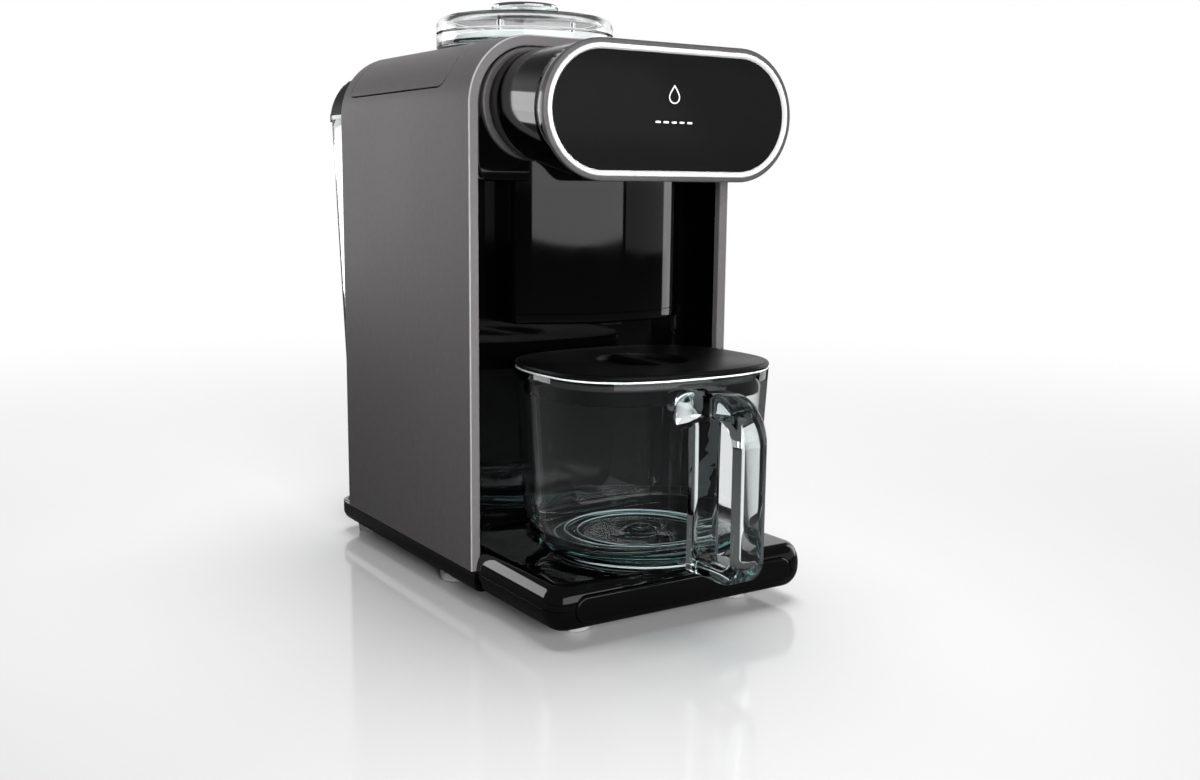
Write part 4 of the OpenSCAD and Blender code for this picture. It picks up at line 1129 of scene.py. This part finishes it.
def carafe_cap():
    lo, hi = cap_lo, cap_hi
    a, b, p = MOUTH_A, MOUTH_B, MOUTH_P
    seat = RIM_Z + 0.4
    skirt = GLASS_T + 1.6
    wall = 2.6
    top = hi.z

    def ring(inset, z, power=p):
        return jug_ring(a - inset, b - inset, power, z)

    rings = [ring(skirt + wall + 26, top - 5.5, 2.3), ring(skirt + wall + 1, top - 5.5)]
    rings += [ring(skirt + wall, top - 6.5), ring(skirt + wall, lo.z + 0.5)]
    rings += [ring(skirt + wall - 0.5, lo.z), ring(skirt + 0.5, lo.z), ring(skirt, lo.z + 0.5)]
    rings += [ring(skirt, seat - 0.2), ring(skirt - 0.2, seat), ring(0.5, seat), ring(0, seat + 0.5)]
    for t in np.linspace(0, 90, 6):
        s = math.radians(t)
        rings.append(ring(1.5 - 1.5 * math.cos(s), top - 1.5 + 1.5 * math.sin(s)))
    rings.append(ring(12, top))
    piece = loft("carafe_cover", rings, "black_matte", "carafe_cap", ["carafe_lid"], sharp=45)
    well = ((0.9, -3.4), (0.97, -2.9), (1.0, -1.8), (1.02, 2))
    well = [along_z(circle(0, JUG[1], 26 * f, 72), top + up) for f, up in well]
    cut(piece, loft("grip_well", well, "black_matte", None))
    bar = round_rect(-4.6, 4.6, JUG[1] - 26.4, JUG[1] + 26.4, 2, 6)
    profile = slab_profile(top - 3.6, top - 0.1, 0.2, 1.4)
    sweep("carafe_grip", bar, profile, along_z, "black_matte", "carafe_cap")
    tidy_mesh(piece, 45)


# ------------------------------------------------------------------ inner works keep their CAD meshes

KEPT = {
    "black_matte": "rear_cover top_deck dispensing_nozzle tank_seat drive_coupling",
    "board_green": "control_board power_board",
    "steel": "case_screws hinge_pin motor_bracket chamber outlet_pipe blade blade_shaft tank_hinge_pins",
    "motor_steel": "motor",
    "brass": "chamber_heater shaft_bushing drain_valve",
    "silicone": "chamber_seal water_hoses",
    "frosted_white": "water_pump thermal_fuse tank_valve",
    "aluminium": "flow_heater",
    "rubber_black": "cord_gland hopper_gasket tank_seal carafe_lid_seal",
}
SWEPT_PIPES = ("water_hoses", "outlet_pipe")  # round already, so they need no softened edges


def dress_kept_nodes():
    for look, names in KEPT.items():
        for name in names.split():
            dress(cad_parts[name], look, None)
            if name not in SWEPT_PIPES:
                soften(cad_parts[name], 0.25, 1, 50)


# ------------------------------------------------------------------ stage, light, camera

FLOOR_SIZE = 60.0
FLOOR_ALBEDO = 0.52
FLOOR_MIRRORED = 0.06  # the floor's albedo where a reflection shows it
INTO_PICTURE = (0.5, 0.866, 0)


def floor():
    """A pale glossy floor that fades into the white background with distance."""
    corners = [(x * FLOOR_SIZE, y * FLOOR_SIZE, 0) for x, y in ((-1, -1), (1, -1), (1, 1), (-1, 1))]
    mesh = bpy.data.meshes.new("floor")
    mesh.from_pydata(corners, [], [(0, 1, 2, 3)])
    piece = new_object("floor", mesh)
    look = new_look("floor_white")
    direct = look.seen_directly()
    pale = look.tint(look.noise(1.2, 2.0), (FLOOR_ALBEDO,) * 3, (FLOOR_ALBEDO + 0.01,) * 3)
    look.set(
        look.shader, Base_Color=look.mix(direct, (*(FLOOR_MIRRORED,) * 3, 1), pale), IOR=1.5,
        Roughness=look.ease(direct, 0, 1, 1.0, 0.10), Specular_IOR_Level=look.ease(direct, 0, 1, 0.0, 0.38),
    )
    distance = look.calc("LENGTH", look.add("TexCoord").outputs["Object"], kind="VectorMath")
    fade = look.ease(distance, 0.35, 1.35, 0.0, 1.0)
    look.surface(look.calc("MULTIPLY", fade, direct), look.shader, look.add("Emission", Color=WHITE))
    mesh.materials.append(MAT["floor_white"])


def surroundings():
    """White to the camera; in reflections dark, but for a white wall low behind the object."""
    world = bpy.data.worlds.new("studio")
    bpy.context.scene.world = world
    sky = Nodes(world, "Background", "World Output")
    way = sky.add("TexCoord").outputs["Generated"]
    height = sky.add("SeparateXYZ", Vector=way).outputs["Z"]
    behind = sky.calc("DOT_PRODUCT", way, INTO_PICTURE, kind="VectorMath")
    wall = sky.calc("MULTIPLY", sky.ease(behind, 0.45, 0.8, 0.0, 1.0), sky.ease(height, 0.30, 0.50, 1.0, 0.0))
    strength = sky.calc("ADD", sky.calc("MULTIPLY", wall, 0.9), 0.10)
    sky.set(sky.shader, Color=WHITE, Strength=strength)
    through = sky.calc("MULTIPLY", sky.seen_directly(), sky.ease(behind, 0.25, 0.60, 0.0, 1.0))
    shown = sky.calc("MAXIMUM", sky.add("LightPath").outputs["Is Camera Ray"], through)
    sky.surface(shown, sky.shader, sky.add("Background", Color=WHITE, Strength=1.0))


def lamps():
    off_floor = bpy.data.collections.new("lamps_skip")
    off_floor.objects.link(bpy.data.objects["floor"])
    off_floor.collection_objects[0].light_linking.link_state = "EXCLUDE"
    for lamp in (
        softbox("front_panel", (0.05, -1.36, 0.42), (0.0, -0.06, 0.42), 1.85, 0.56, 6.0),
        softbox("rear_left_box", (-0.68, 1.08, 0.35), (-0.08, -0.08, 0.35), 0.7, 0.56, 4.0),
        softbox("right_card", (1.16, -0.64, 0.38), (0, -0.06, 0.38), 1.1, 0.5, 0.6),
        softbox("right_strip", (1.03, -0.015, 0.45), (0.05, -0.05, 0.45), 0.40, 0.9, 2.1),
    ):
        lamp.light_linking.receiver_collection = off_floor
    wash("top_wash", (0.38, 0.38, 2.4), (0, 0, 0.15), 1.7, 1.7, 92)
    wash("roof_wash", (-0.55, 0.04, 0.52), (-0.089, 0.04, 0.33), 0.9, 0.12, 0.08, 60)
    wash("front_wash", (-0.30, -1.1, 0.34), (-0.05, -0.05, 0.2), 0.5, 0.4, 3.5, 60)


def area_lamp(name, place, target, width, height, power):
    light = bpy.data.lights.new(name, "AREA")
    light.shape = "RECTANGLE"
    light.size, light.size_y = width, height
    light.energy = power
    lamp = new_object(name, light)
    lamp.location = place
    lamp.rotation_euler = (Vector(target) - Vector(place)).to_track_quat("-Z", "Y").to_euler()
    lamp.visible_camera = False
    return lamp


def wash(name, place, target, width, height, power, spread=180):
    """A lamp that only lights matt surfaces; it leaves no highlight."""
    lamp = area_lamp(name, place, target, width, height, power)
    lamp.data.spread = math.radians(spread)
    lamp.visible_glossy = False
    lamp.visible_transmission = False


def softbox(name, place, target, width, height, power):
    """A lamp that only shows as a reflection in gloss and glass."""
    lamp = area_lamp(name, place, target, width, height, power)
    lamp.visible_diffuse = False
    return lamp


def camera():
    data = bpy.data.cameras.new("camera")
    data.sensor_width = 36.0
    data.lens = 38.61
    data.clip_start = 0.02
    data.clip_end = 200
    cam = new_object("camera", data)
    cam.location = (-0.4125, -0.6729, 0.2400)
    yaw, pitch, roll = math.radians(33.17), math.radians(-9.18), math.radians(-0.58)
    look = Vector((math.sin(yaw) * math.cos(pitch), math.cos(yaw) * math.cos(pitch), math.sin(pitch)))
    cam.rotation_euler = (look.to_track_quat("-Z", "Y") @ Quaternion((0, 0, 1), -roll)).to_euler()
    bpy.context.scene.camera = cam


shell()
hood()
head()
column()
bay()
base()
pan()
feet()
tank()
tank_cover()
hopper()
jug()
jug_edge()
carafe_cap()
dress_kept_nodes()
bpy.context.scene.view_settings.view_transform = "Standard"
floor()
surroundings()
lamps()
camera()
